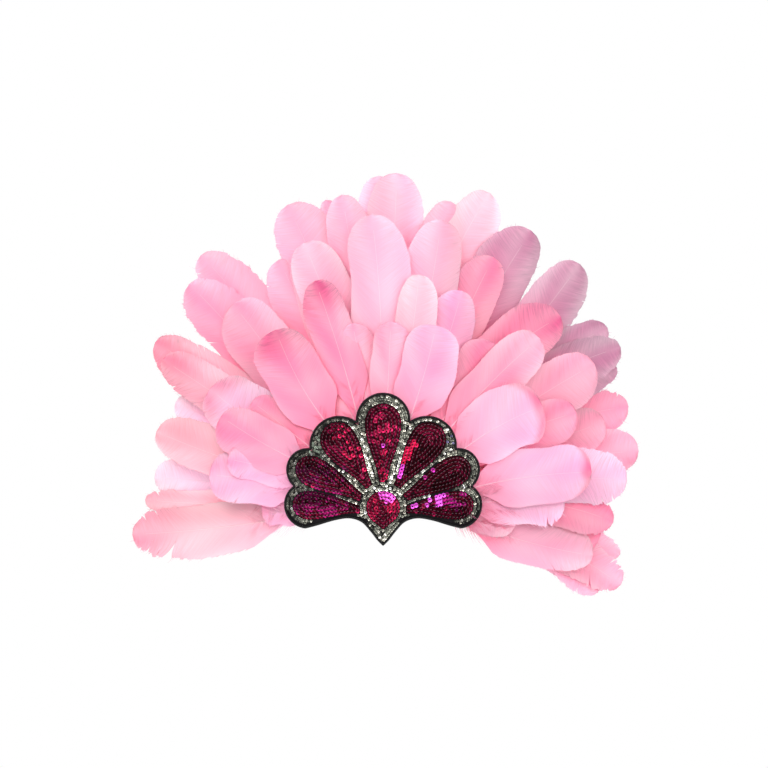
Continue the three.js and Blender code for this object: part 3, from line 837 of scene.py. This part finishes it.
def arc_through(start, middle, end, steps):
    """Points on the circle through three points, from start to before end, clockwise."""
    a, b = middle - start, end - start
    cross = 2 * (a[0] * b[1] - a[1] * b[0])
    centre = start + np.array([b[1] * (a @ a) - a[1] * (b @ b),
                               a[0] * (b @ b) - b[0] * (a @ a)]) / cross
    from_angle = np.arctan2(*(start - centre)[::-1])
    turn = (from_angle - np.arctan2(*(end - centre)[::-1])) % (2 * np.pi)
    angle = from_angle - turn * np.arange(steps) / steps
    return centre + np.linalg.norm(start - centre) * np.stack([np.cos(angle), np.sin(angle)], 1)


def smooth_through(points, steps):
    """A Catmull-Rom curve through points, each stretch cut into steps."""
    p = np.asarray(points, dtype=float)
    p = np.vstack([2 * p[0] - p[1], p, 2 * p[-1] - p[-2]])
    t = (np.arange(steps) / steps)[:, None]
    parts = [0.5 * (2 * p[i] + (p[i + 1] - p[i - 1]) * t
                    + (2 * p[i - 1] - 5 * p[i] + 4 * p[i + 1] - p[i + 2]) * t ** 2
                    + (3 * p[i] - p[i - 1] - 3 * p[i + 1] + p[i + 2]) * t ** 3)
             for i in range(1, len(p) - 2)]
    return np.vstack([*parts, p[-2]])


def plaque_outline():
    """Clockwise outline: top lobe, right side, foot, and the right side mirrored."""
    arcs = [arc_through(*np.array(row, dtype=float).reshape(3, 2), ARC_STEPS) for row in LOBES]
    right = np.vstack([*arcs[1:], smooth_through(LOWER_EDGE, CURVE_STEPS)])
    left = (right * (-1, 1))[::-1][1:-1]
    return np.vstack([arcs[0], right, left])


def even_points(points, spacing):
    """Points at even distances round a closed outline."""
    closed = np.vstack([points, points[:1]])
    run = np.r_[0, np.cumsum(np.linalg.norm(np.diff(closed, axis=0), axis=1))]
    count = max(3, int(round(run[-1] / spacing)))
    place = np.arange(count) * run[-1] / count
    return np.stack([np.interp(place, run, closed[:, k]) for k in (0, 1)], 1)


def path_ways(path):
    """A closed path's direction at each point, p(i+1) - p(i-1), and what lies to its right,
    which is the inside of a clockwise outline."""
    ahead = unit(np.roll(path, -1, axis=0) - np.roll(path, 1, axis=0))
    return ahead, right_of(ahead)


outline = even_points(plaque_outline(), OUTLINE_STEP_MM)
print("plaque outline:", round(len(outline) * OUTLINE_STEP_MM), "mm round,",
      np.ptp(outline, axis=0).round(1), "mm over all")

# %% [markdown]
# ## Petals and drop
# On the real plaque each lobe holds one petal of sequins and all seven point at a drop. A petal
# is an axis with a half-width along it, narrow at the drop and round at the lobe.

# %% Outlines of petals and drop
# A petal is the bearing and reach of its end, those of its base, and its width.
PETALS = [
    (-91.3, 70, -103, 18.5, 21.5),
    (-65.5, 73.5, -73, 17.5, 23),
    (-35, 74, -38, 17.5, 27),
    (0, 77.4, 0, 17.5, 27),
    (35, 74, 38, 17.5, 27),
    (65.5, 73.5, 73, 17.5, 23),
    (91.3, 70, 103, 18.5, 21.5),
]
PETAL_BASE_HALF = 2.8
PETAL_WIDEST = 0.76
DROP_RADIUS = 12.6
DROP_CENTRE = -2.6
DROP_FOOT = -18.8


def polar(bearing, distance):
    """Point at a bearing from straight up, in degrees."""
    angle = np.radians(bearing)
    return distance * np.array([np.sin(angle), np.cos(angle)])


def petal_outline(end_bearing, end_reach, base_bearing, base_reach, width):
    """Half-width = base + (widest - base) sin(part 90 deg)^1.6 up to the widest place, then an
    elliptic end; the base is shifted sideways by (1 - along)^3."""
    end = polar(end_bearing, end_reach)
    base = polar(base_bearing, base_reach)
    axis = polar(end_bearing, 1)
    length = (end - base) @ axis
    straight = end - axis * length
    part = np.linspace(0, 1, 60)
    turn = np.linspace(0, np.pi / 2, 40)[1:]
    along = np.r_[part * PETAL_WIDEST, PETAL_WIDEST + (1 - PETAL_WIDEST) * np.sin(turn)]
    swell = (width / 2 - PETAL_BASE_HALF) * np.sin(part * np.pi / 2) ** 1.6
    half = np.r_[PETAL_BASE_HALF + swell, width / 2 * np.cos(turn)]
    middle = straight + axis * (length * along)[:, None]
    middle = middle + (base - straight) * ((1 - along) ** 3)[:, None]
    side = right_of(axis) * half[:, None]
    return np.vstack([middle - side, (middle + side)[::-1][1:]])


def drop_outline():
    """A circle with two tangents to a pointed foot, clockwise from the foot."""
    half = np.arccos(DROP_RADIUS / (DROP_CENTRE - DROP_FOOT))
    angle = -np.pi / 2 - half - np.linspace(0, 1, 100) * (2 * np.pi - 2 * half)
    ring = DROP_RADIUS * np.stack([np.cos(angle), np.sin(angle)], 1) + (0, DROP_CENTRE)
    return np.vstack([[0, DROP_FOOT], ring])


petal_shapes = [petal_outline(*row) for row in PETALS]
drop_shape = drop_outline()
print("petals:", len(petal_shapes), "drop:", np.ptp(drop_shape, axis=0).round(1), "mm")

# %% [markdown]
# ## Rows of sequins
# Sequins come chained on a thread and are laid in rows that follow each petal's edge, each one
# half over the one before it. So the rows are the petal's outline moved inwards, step by step,
# with a sequin at every stitch.

# %% Rows
ROW_STEP_MM = 0.35
CROWDED_MM = 0.8
DEEPEST_ROW_MM = 16


def distances(first, second):
    """The distance from each point of one set to each of the other, in short numbers, because
    the tables are large."""
    a, b = first.astype(np.float32), second.astype(np.float32)
    return np.hypot(a[:, None, 0] - b[None, :, 0], a[:, None, 1] - b[None, :, 1])


def inward_row(points, distance, spacing):
    """The outline moved inwards: points p + d n that stay at least d from the outline, picked
    at even spacing, with the direction of the row at each."""
    dense = even_points(points, ROW_STEP_MM)
    ahead, inside = path_ways(dense)
    moved = dense + inside * distance
    keep = distances(moved, dense).min(axis=1) > abs(distance) * 0.985 - 0.02
    moved, ahead = moved[keep], ahead[keep]
    if len(moved) < 3:
        return np.empty((0, 2)), np.empty((0, 2))
    run = np.r_[0, np.cumsum(np.linalg.norm(np.diff(moved, axis=0), axis=1))]
    picks = np.searchsorted(run, np.arange(0, run[-1] - spacing * 0.4, spacing))
    return moved[picks], ahead[picks]


def joined(rows):
    """Rows of places and directions as one array of each."""
    return (np.vstack(part) for part in zip(*rows))


def apart(places, least, sure=1):
    """Which places to keep so that none is nearer than the least distance to an earlier one.
    The first few are sure of their place."""
    gap = distances(places, places)
    keep = np.ones(len(places), dtype=bool)
    for i in range(sure, len(places)):
        keep[i] = not np.any((gap[i, :i] < least) & keep[:i])
    return keep


def filled_rows(shape, size):
    """Rows from the first distance inwards until no room is left, then sequins half a row
    further in, wherever the rows leave a hole between them."""
    depths = np.arange(size["first"], DEEPEST_ROW_MM, size["rows"])
    rows = [inward_row(shape, depth, size["pitch"]) for depth in depths]
    sure = sum(len(row[0]) for row in rows)
    rows += [inward_row(shape, depth + size["rows"] / 2, CROWDED_MM) for depth in depths]
    places, ways = joined(rows)
    keep = apart(places, size["apart"], sure)
    return places[keep], ways[keep]


print("a row 2 mm inside the drop holds", len(inward_row(drop_shape, 2, 3)[0]), "sequins")

# %% [markdown]
# ## One sequin, many places
# A sequin is a cupped disc of metallised film with a hole in the middle. One small disc is worked
# out once and carried to every place with a frame of three vectors, as whole arrays. Each is
# tilted about the row's cross direction, because it rests on the one before.

# %% Sequin maker
FELT_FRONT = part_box("plaque_felt")[0][1] / MM
DISC_SIDES = 10
FILM_MM = 0.12
PETAL_SEQUIN = {"radius": 1.8, "hole": 0.66, "cup": 0.3, "first": 1.5, "pitch": 2.8,
                "rows": 2.9, "apart": 2.4, "tilt": np.radians(12), "wobble": np.radians(4.5)}
SILVER_SEQUIN = {"radius": 1.05, "hole": 0.42, "cup": 0.12, "pitch": 1.95,
                 "apart": 1.6, "tilt": np.radians(8), "wobble": np.radians(5)}


def sequin_disc(size):
    """Four rings: hole and rim, front and back. The rim stands forward by the cup."""
    turn = round_angles(DISC_SIDES)
    rings = [(size["hole"], 0), (size["radius"], size["cup"]),
             (size["radius"], size["cup"] - FILM_MM), (size["hole"], -FILM_MM)]
    points = np.stack([np.stack([r * np.cos(turn), r * np.sin(turn), 0 * turn + h], 1)
                       for r, h in rings])
    return points.reshape(-1, 3), ring_quads(4, DISC_SIDES)[:, ::-1]


def on_felt(places, ahead):
    """Each place on the bent felt, with the felt's normal and the row's direction there."""
    slope = sweep_slope(places[:, 0])
    normal = unit(np.stack([slope, -np.ones_like(slope), 0 * slope], 1))
    return (in_space(places, FELT_FRONT + sweep_back(places[:, 0])), normal,
            in_space(ahead, slope * ahead[:, 0]))


def place_discs(places, ahead, disc, size):
    """Each disc point a T + b B + c N. N is the bent felt's normal, T the row's direction, both
    turned by the tilt, and each frame is wobbled a little."""
    centre, normal, along = on_felt(places, ahead)
    tangent = unit(along)
    cross = np.cross(normal, tangent)
    pitch = (size["tilt"] + rng.normal(0, size["wobble"], len(places)))[:, None]
    roll = rng.normal(0, size["wobble"], len(places))[:, None]
    t = tangent * np.cos(pitch) + normal * np.sin(pitch)
    n = normal * np.cos(pitch) - tangent * np.sin(pitch)
    b = cross * np.cos(roll) + n * np.sin(roll)
    n = n * np.cos(roll) - cross * np.sin(roll)
    centre = centre + normal * (size["radius"] * np.sin(size["tilt"]) + 0.25)
    return (centre[:, None] + t[:, None] * disc[None, :, :1] + b[:, None] * disc[None, :, 1:2]
            + n[:, None] * disc[None, :, 2:])


print("one sequin has", len(sequin_disc(PETAL_SEQUIN)[1]), "faces")

# %% [markdown]
# ## The sequins' finish
# Metallised polyester film is a mirror seen through a coloured lacquer, so it is a metal whose
# colour is the dye. The real wine petals look nearly black where they mirror a dark room and
# flash magenta where a light is caught. Here the room is pale, so the colours are set darker as
# painted dark reflection, and the brightest and darkest sequins carry painted highlights and
# painted shade. Each sequin keeps one colour, stored on its points.

# %% Film materials


def film_material(name, roughness):
    """A metal with the colour stored on each sequin, its gloss uneven by dents 1 mm wide."""
    material, tree = new_material(name)
    colour_and_painted_light = add_node(tree, "Attribute", attribute_name="colour_and_painted_light")
    place = add_node(tree, "TexCoord")
    dents = add_node(tree, "TexNoise", Vector=place.outputs["Object"], Scale=900.0, Detail=2.0)
    gloss = add_node(tree, "MapRange", Value=dents.outputs["Fac"],
                     To_Min=roughness * 0.7, To_Max=roughness * 1.4)
    bump = add_node(tree, "Bump", Height=dents.outputs["Fac"], Strength=0.12, Distance=0.0004)
    film = add_node(tree, "BsdfPrincipled", Base_Color=colour_and_painted_light.outputs["Color"], Metallic=1.0,
                    Roughness=gloss.outputs["Result"], Normal=bump.outputs["Normal"])
    add_node(tree, "OutputMaterial", Surface=film.outputs[0])
    return material


# Lacquered film, slightly scuffed: it glows wine red over a wide angle.
wine_film = film_material("wine_metallised_polyester_film", 0.28)
# Clear film: a grey mirror that sparkles where it faces a light.
silver_film = film_material("silver_metallised_polyester_film", 0.24)
print("films:", wine_film.name, silver_film.name)

# %% [markdown]
# ## Thread, felt and elastic
# Cloth is two shades of one dye mixed by its fibres, with the same noise as a bump. Real fibres
# are 0.02 mm thick and yarns 0.2 mm, too fine to show here, so the noise draws clumps of them,
# 0.7 to 1.4 mm wide.

# %% Cloth materials


def cloth_material(name, shades, scale, stretch, gloss, bump_strength, sheen):
    """Two shades mixed by fibres: noise on Object coordinates, stretched where they lie along.
    gloss is the roughness and the specular level."""
    material, tree = new_material(name)
    place = add_node(tree, "TexCoord")
    turned = add_node(tree, "Mapping", Vector=place.outputs["Object"], Scale=stretch)
    fibres = add_node(tree, "TexNoise", Vector=turned.outputs["Vector"],
                      Scale=scale, Detail=4.0, Roughness=0.7)
    blend = add_node(tree, "Mix", data_type="RGBA", Factor=fibres.outputs["Fac"])
    for socket, shade in zip(blend.inputs[6:8], shades):
        socket.default_value = (*linear(shade), 1.0)
    bump = add_node(tree, "Bump", Height=fibres.outputs["Fac"], Strength=bump_strength,
                    Distance=0.0008)
    cloth = add_node(tree, "BsdfPrincipled", Base_Color=blend.outputs[2],
                     Normal=bump.outputs["Normal"], Roughness=gloss[0],
                     Specular_IOR_Level=gloss[1], Sheen_Weight=sheen)
    add_node(tree, "OutputMaterial", Surface=cloth.outputs[0])
    return material


EVEN = (1, 1, 1)
# Polyester thread: dull dashes that draw the rows on the petals.
thread = cloth_material("polyester_sewing_thread", ("#44202a", "#7c5362"), 1500.0, EVEN,
                        (0.6, 0.4), 0.3, 0.1)
# The same in grey, nearly lost between the silver sequins.
dark_thread = cloth_material("grey_polyester_thread", ("#191a1a", "#3d3e3e"), 1500.0, EVEN,
                             (0.6, 0.3), 0.3, 0.05)
# Wool felt: the deepest, mattest black, with short fibres lying every way.
felt = cloth_material("pressed_black_wool_felt", ("#050405", "#1b171b"), 700.0, EVEN,
                      (0.95, 0.12), 0.8, 0.05)
# Rayon stitches: black with a soft gleam along the rope.
satin = cloth_material("black_rayon_satin_stitch", ("#020203", "#08080a"), 1200.0, EVEN,
                       (0.45, 0.18), 0.2, 0.0)
# Woven elastic: dull, with yarns lying lengthwise, so the noise is squeezed in height.
elastic = cloth_material("black_woven_elastic", ("#050505", "#191819"), 900.0, (1, 1, 3),
                         (0.85, 0.2), 0.6, 0.04)
print("materials:", len(bpy.data.materials))

# %% [markdown]
# ## Sewing the sequins on
# Each petal and the drop is one piece: all its sequins, and the thread that shows between one
# hole and the next. A stitch is a thin box with three stations, closed at both ends.

# %% Stitches and sequin pieces
THREAD_HALF_MM = 0.16
THREAD_RISE_MM = 0.78
THREAD_SLOPE = 0.36
THREAD_SPAN = (0.24, 0.72)
THREAD_POINTS = 12
THREAD_DYE = 0.6


def stitches(places, ahead, pitch):
    """The thread on each sequin: four corners by three stations, from its hole forwards over
    the film, rising as the sequin does."""
    t = np.linspace(*THREAD_SPAN, 3) * pitch
    corner = np.array([(-1, 0), (1, 0), (1, 1), (-1, 1)]) * THREAD_HALF_MM
    centre, normal, along = on_felt(places, ahead)
    across = np.cross(normal, along)
    height = THREAD_RISE_MM + THREAD_SLOPE * t
    line = centre[:, None] + along[:, None] * t[None, :, None]
    line = line + normal[:, None] * height[None, :, None]
    points = (line[:, :, None] + across[:, None, None] * corner[None, None, :, :1]
              + normal[:, None, None] * corner[None, None, :, 1:])
    return points.reshape(-1, 3), np.vstack([grid_quads(3, 4, wrap=True)[:, ::-1],
                                             [(3, 2, 1, 0)], [(8, 9, 10, 11)]])


def repeat_faces(quads, count, size):
    """The same faces for each of count copies of so many points."""
    return (quads[None] + (np.arange(count) * size)[:, None, None]).reshape(-1, 4)


def sequin_piece(name, places, ahead, size, colours, painted_light, finish, slot, node):
    """All sequins of one piece with their stitches. colours are (hex, share) pairs, the sequins'
    own colours; the patches of painted light then give a share of them painted highlights,
    reflections and shade instead. finish is the film's material and the thread's."""
    disc, disc_quads = sequin_disc(size)
    discs = place_discs(places, ahead, disc, size).reshape(-1, 3)
    threads, thread_quads = stitches(places, ahead, size["pitch"])
    count = len(places)
    shades = np.array([linear(colour) for colour, _ in colours])
    share = np.array([part for _, part in colours])
    pick = rng.choice(len(shades), count, p=share / share.sum())
    tone = shades[pick] * rng.uniform(0.8, 1.2, (count, 1))
    # Painted light: a share of the sequins inside each patch take its painted colour, brighter for
    # a highlight and darker for shade, in place of their own.
    for x, z, reach_x, reach_z, lean, colour, part in painted_light:
        up = places[:, 1] - z
        near = np.hypot((places[:, 0] - x - lean * up) / reach_x, up / reach_z) < 1
        lit = near & (rng.random(count) < part)
        tone[lit] = linear(colour) * rng.uniform(0.75, 1.15, (lit.sum(), 1))
    colour_and_painted_light = np.vstack([np.repeat(tone, len(disc), axis=0), np.full(threads.shape, THREAD_DYE)])
    colour_and_painted_light = np.column_stack([np.clip(colour_and_painted_light, 0, 1), np.ones(len(colour_and_painted_light))])
    quads = np.vstack([repeat_faces(disc_quads, count, len(disc)),
                       repeat_faces(thread_quads, count, THREAD_POINTS) + len(discs)])
    looks = np.repeat([0, 1], [count * len(disc_quads), count * len(thread_quads)])
    piece = make_piece(name, np.vstack([discs, threads]) * MM, quads, finish, colour_and_painted_light,
                       looks=looks, smooth=False)
    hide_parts(node)
    return count


print("a stitch has", THREAD_POINTS, "points")

# %% [markdown]
# ## Wine petals and magenta drop
# Most sequins are a dark wine red in a few shades. Over them lie patches of painted light: where
# lights are caught, a share of the sequins takes a brighter colour as painted highlights and
# reflections, and where the film looks darkest a share takes a darker colour as painted shade.
# A patch is an ellipse, which may lean. These painted colours stay put when the lamps move.

# %% Petals and drop
# The film's own wine and magenta, set darker than the film would look in the pale room: own colour
# and painted dark reflection together.
WINE_AND_PAINTED_REFLECTION = [("#430819", 0.4), ("#330512", 0.32), ("#570a24", 0.2), ("#781236", 0.08)]
MAGENTA_AND_PAINTED_REFLECTION = [("#6f0e2b", 0.5), ("#8e1236", 0.25), ("#4f0a20", 0.25)]
# Patches of painted light: painted highlights and reflections in the bright colours, painted shade
# in the dark ones. x, z, reach along x and z, how far the patch leans to the side for each mm it
# rises, colour, share of the sequins.
PAINTED_GLINTS_AND_SHADE = [
    (46, 38, 31, 33, 0, "#2c050d", 0.62),
    (41, 5, 9.5, 2.7, 0, "#f05ae6", 0.9),
    (43.5, 0.5, 5.5, 3, 0, "#ee56e0", 0.75),
    (33, 0.5, 2.6, 3.6, 0.4, "#e452d2", 0.8),
    (28.5, -2.5, 4, 2, 0, "#8f1740", 0.7),
    (52, 4, 6, 3, 0, "#7d1158", 0.6),
    (23.8, -1.4, 2.2, 2.2, 0, "#ee58e0", 0.9),
    (12.2, 24, 2.5, 9.5, 0.42, "#f450de", 0.9),
    (20, 41, 3.4, 10, 0.6, "#d41c4a", 0.85),
    (37.5, 28, 2.6, 2.4, 0, "#cf35a8", 0.9),
    (32, 22, 5, 3, 0.5, "#a41f78", 0.6),
    (3.5, 6, 7, 4.6, 0, "#ee55cc", 0.8),
    (0, 0, 9, 5, 0, "#cc2350", 0.45),
    (-1, -7, 9, 5, 0, "#9a1636", 0.3),
    (1, 45, 2.2, 3, 0, "#d846c4", 0.75),
    (0, 58, 10, 14, 0, "#a51c46", 0.45),
    (0, 30, 4, 14, 0, "#9c153b", 0.4),
    (-25, 46, 13, 12, -0.5, "#b01a42", 0.14),
    (-14.5, 31, 3.2, 9, -0.45, "#b81b47", 0.4),
    (-30, 57, 9, 6, 0, "#8a1536", 0.3),
    (-52, 2, 26, 12, 0, "#6c0f42", 0.6),
    (-48, 24, 22, 9, 0, "#520c34", 0.5),
    (55, 2, 10, 8, 0, "#7d1158", 0.4),
    (38, 52, 12, 8, 0, "#500a20", 0.5),
    (0, -12, 9, 8, 0, "#4a0a1c", 0.65),
]
total = 0
for number, shape in enumerate(petal_shapes, start=1):
    total += sequin_piece(f"sequins_petal_{number}", *filled_rows(shape, PETAL_SEQUIN),
                          PETAL_SEQUIN, WINE_AND_PAINTED_REFLECTION, PAINTED_GLINTS_AND_SHADE, [wine_film, thread], "wine_sequins",
                          f"petal_{number}")
total += sequin_piece("sequins_drop", *filled_rows(drop_shape, PETAL_SEQUIN), PETAL_SEQUIN,
                      MAGENTA_AND_PAINTED_REFLECTION, PAINTED_GLINTS_AND_SHADE, [wine_film, thread], "magenta_sequins", "center_drop")
print("wine and magenta sequins:", total)

# %% [markdown]
# ## The silver web
# Small silver sequins fill what is left between the petals and the edge. A row goes round the
# inside of the edge first, then one round the drop and one round each petal, then more rows,
# and at last single sequins wherever there is room. One that would crowd another, cover a petal
# or reach the stitched edge is left out.

# %% Silver sequins
SILVER = [("#76776d", 0.42), ("#45463f", 0.29), ("#a2a094", 0.18), ("#cfcabb", 0.08),
          ("#f6f4ee", 0.03)]
# Painted light on the silver: painted white highlights, and painted reflections of gold, green and
# violet, in the same columns as the wine patches.
PAINTED_SILVER_GLINTS = [
    (35, 8, 13, 3.5, 0, "#fffdf6", 0.6),
    (30.5, 28, 3.4, 3.4, 0, "#fffdf6", 0.8),
    (8.6, 25, 2.0, 9, 0.42, "#fffdf6", 0.6),
    (-10.5, 30, 2.0, 10, -0.4, "#f4efe2", 0.3),
    (0, 12.5, 8, 3, 0, "#fffdf6", 0.4),
    (0, -24, 6, 5, 0, "#f6f1e6", 0.14),
    (60, -16, 5, 4, 0, "#f6f1e6", 0.3),
    (26, 53, 6, 5, 0.9, "#d9cf9f", 0.7),
    (-54, 46, 8, 8, 0, "#b8c7b4", 0.3),
    (52, 52, 7, 9, 0, "#8d86b0", 0.14),
]
PETAL_CLEARANCE_MM = 1.4
EDGE_CLEARANCE_MM = 2.7
LOW_EDGE_MORE_MM = 1.3
pitch = SILVER_SEQUIN["pitch"]
openings = [*petal_shapes, drop_shape]
# The rows in sewing order: round which shapes, how far inwards (a minus is outwards), spacing.
SILVER_ROWS = [
    ([outline], (2.85,), pitch),
    ([drop_shape], (-1.5,), pitch),
    (petal_shapes, (-1.6,), pitch),
    ([outline], (4.7, 6.5, 8.3), pitch),
    (openings, (-3.2,), pitch),
    ([outline], (3.8, 5.6, 7.4), CROWDED_MM),
    (openings, (-1.6, -2.5, -3.4, -4.4), CROWDED_MM),
]


def clear_of(places, shape):
    """Which places lie outside a shape, by counting the sides that a ray to the right crosses,
    and clear of its edge."""
    edge = even_points(shape, ROW_STEP_MM)
    (x0, z0), (x1, z1) = edge.T, np.roll(edge, -1, axis=0).T
    px, pz = places[:, :1], places[:, 1:]
    crosses = ((z0 > pz) != (z1 > pz)) & (px < (x1 - x0) * (pz - z0) / (z1 - z0 + 1e-12) + x0)
    gap = distances(places, edge).min(axis=1)
    return (crosses.sum(axis=1) % 2 == 0) & (gap > PETAL_CLEARANCE_MM)


places, ways = joined([inward_row(shape, depth, spacing) for shapes, depths, spacing in SILVER_ROWS
                       for depth in depths for shape in shapes])
keep = np.all([clear_of(places, shape) for shape in openings], axis=0)
places, ways = places[keep], ways[keep]
low_edge = smoothstep(-places[:, 1], 5, 11) * (np.abs(places[:, 0]) > 12)
keep = (distances(places, outline[::2]).min(axis=1)
        > EDGE_CLEARANCE_MM + LOW_EDGE_MORE_MM * low_edge)
places, ways = places[keep], ways[keep]
keep = apart(places, SILVER_SEQUIN["apart"])
silver_count = sequin_piece("sequins_silver", places[keep], ways[keep], SILVER_SEQUIN, SILVER,
                            PAINTED_SILVER_GLINTS, [silver_film, dark_thread], "silver_sequins",
                            "silver_trim")
print("silver sequins:", silver_count)

# %% [markdown]
# ## The stitched edge
# The felt's cut edge is covered with satin stitch: threads laid side by side across the edge,
# so tightly that they make a shiny rope. It is an oval profile carried round the outline, and
# its radius rises and falls with each thread. Real threads are 0.4 mm apart, drawn here at
# 0.8 mm so that they show.

# %% Satin edge
STITCH_MM = 0.8
SATIN_POINTS = 3
SATIN_SIDES = 10
SATIN_INSET_MM = 0.95
SATIN_HALF_WIDTH_MM = 1.12
SATIN_HALF_DEPTH_MM = 1.95
SATIN_ABOVE_FELT_MM = 1.7
SATIN_RIB = 0.09


def satin_edge():
    """Profile: half-width cos(a) across, middle - half-depth sin(a) in depth. Both are times
    1 + rib cos(2 pi i / points per thread)."""
    path = even_points(outline, STITCH_MM / SATIN_POINTS)
    for _ in range(3):
        path = (np.roll(path, 1, axis=0) + 2 * path + np.roll(path, -1, axis=0)) / 4
    _, inside = path_ways(path)
    centre = path + inside * SATIN_INSET_MM
    rib = 1 + SATIN_RIB * np.cos(2 * np.pi * np.arange(len(path)) / SATIN_POINTS)[:, None]
    turn = round_angles(SATIN_SIDES)
    flat = centre[:, None] + inside[:, None] * (SATIN_HALF_WIDTH_MM * rib * np.cos(turn))[..., None]
    middle = (PAD_FRONT - GAP + FELT_FRONT - SATIN_ABOVE_FELT_MM) / 2
    depth = middle + sweep_back(centre[:, :1]) - SATIN_HALF_DEPTH_MM * rib * np.sin(turn)
    return in_space(flat, depth).reshape(-1, 3), ring_quads(len(path), SATIN_SIDES)[:, ::-1]


edge_points, edge_quads = satin_edge()
edge_piece = make_piece("satin_stitched_edge", edge_points * MM, edge_quads, [satin])
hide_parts("edge_binding")
print("satin edge:", len(edge_quads), "faces")

# %% [markdown]
# ## The elastic band
# Woven elastic has cords of rubber running lengthwise, which show as ribs. The band is a flat
# profile with ribs, carried round the head's outline, and its overlap is sewn at the back.

# %% Elastic band
HEAD_HALF = (77, 96)
HEAD_SQUARENESS = 2.2
BAND_THICKNESS = 1.5
BAND_HEIGHT = 20
BAND_RIBS = 9
BAND_STEP = 3.0
WALL_HALF = 0.6
RIB_HEIGHT = 0.12
OVERLAP_HEIGHT = 0.9
OVERLAP_STARTS = (2.6, 1.4)


def elastic_band():
    """Superellipse |x/a|^n + |y/b|^n = 1 from above; the wall is 1.2 mm thick, its outside ribbed
    by 0.12 |sin|, and 0.9 mm thicker over the sewn overlap at the back."""
    turn = round_angles(240)
    ring = np.stack([np.cos(turn), np.sin(turn)], 1)
    loop = HEAD_HALF * np.sign(ring) * np.abs(ring) ** (2 / HEAD_SQUARENESS)
    loop = even_points(loop, BAND_STEP)
    _, out = path_ways(loop)
    level = np.linspace(-1, 1, BAND_RIBS * 4 + 1)
    body = (1 - level ** 8) ** 0.5
    rib = RIB_HEIGHT * np.abs(np.sin(level * BAND_RIBS * np.pi / 2))
    from_back = HEAD_HALF[1] - np.array(OVERLAP_STARTS)
    overlap = OVERLAP_HEIGHT * smoothstep(loop[:, 1:], *from_back)
    outer = BAND_THICKNESS / 2 + (WALL_HALF + rib + overlap) * body
    inner = BAND_THICKNESS / 2 - WALL_HALF * body + 0 * overlap
    reach = np.concatenate([outer, inner[:, ::-1]], axis=1)
    height = np.concatenate([level, level[::-1]]) * BAND_HEIGHT / 2
    flat = loop[:, None] + out[:, None] * reach[..., None]
    points = np.dstack([flat, height + 0 * reach])
    return points.reshape(-1, 3), ring_quads(*reach.shape)[:, ::-1]


band_points, band_quads = elastic_band()
band_piece = make_piece("elastic_head_band", band_points * MM, band_quads, [elastic])
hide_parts("head_band")
print("elastic band:", len(band_quads), "faces")

# %% [markdown]
# ## Felt
# The felt base and the pad behind it keep their solids. Felt is pressed wool: matt, with short
# fibres lying every way, which the noise in its colour and bump gives.

# %% Felt on the solids
FELT_NODES = ("plaque_felt", "quill_pad")
for node in FELT_NODES:
    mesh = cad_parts[node].data
    mesh.materials.clear()
    mesh.materials.append(felt)
print("felt on", *FELT_NODES)
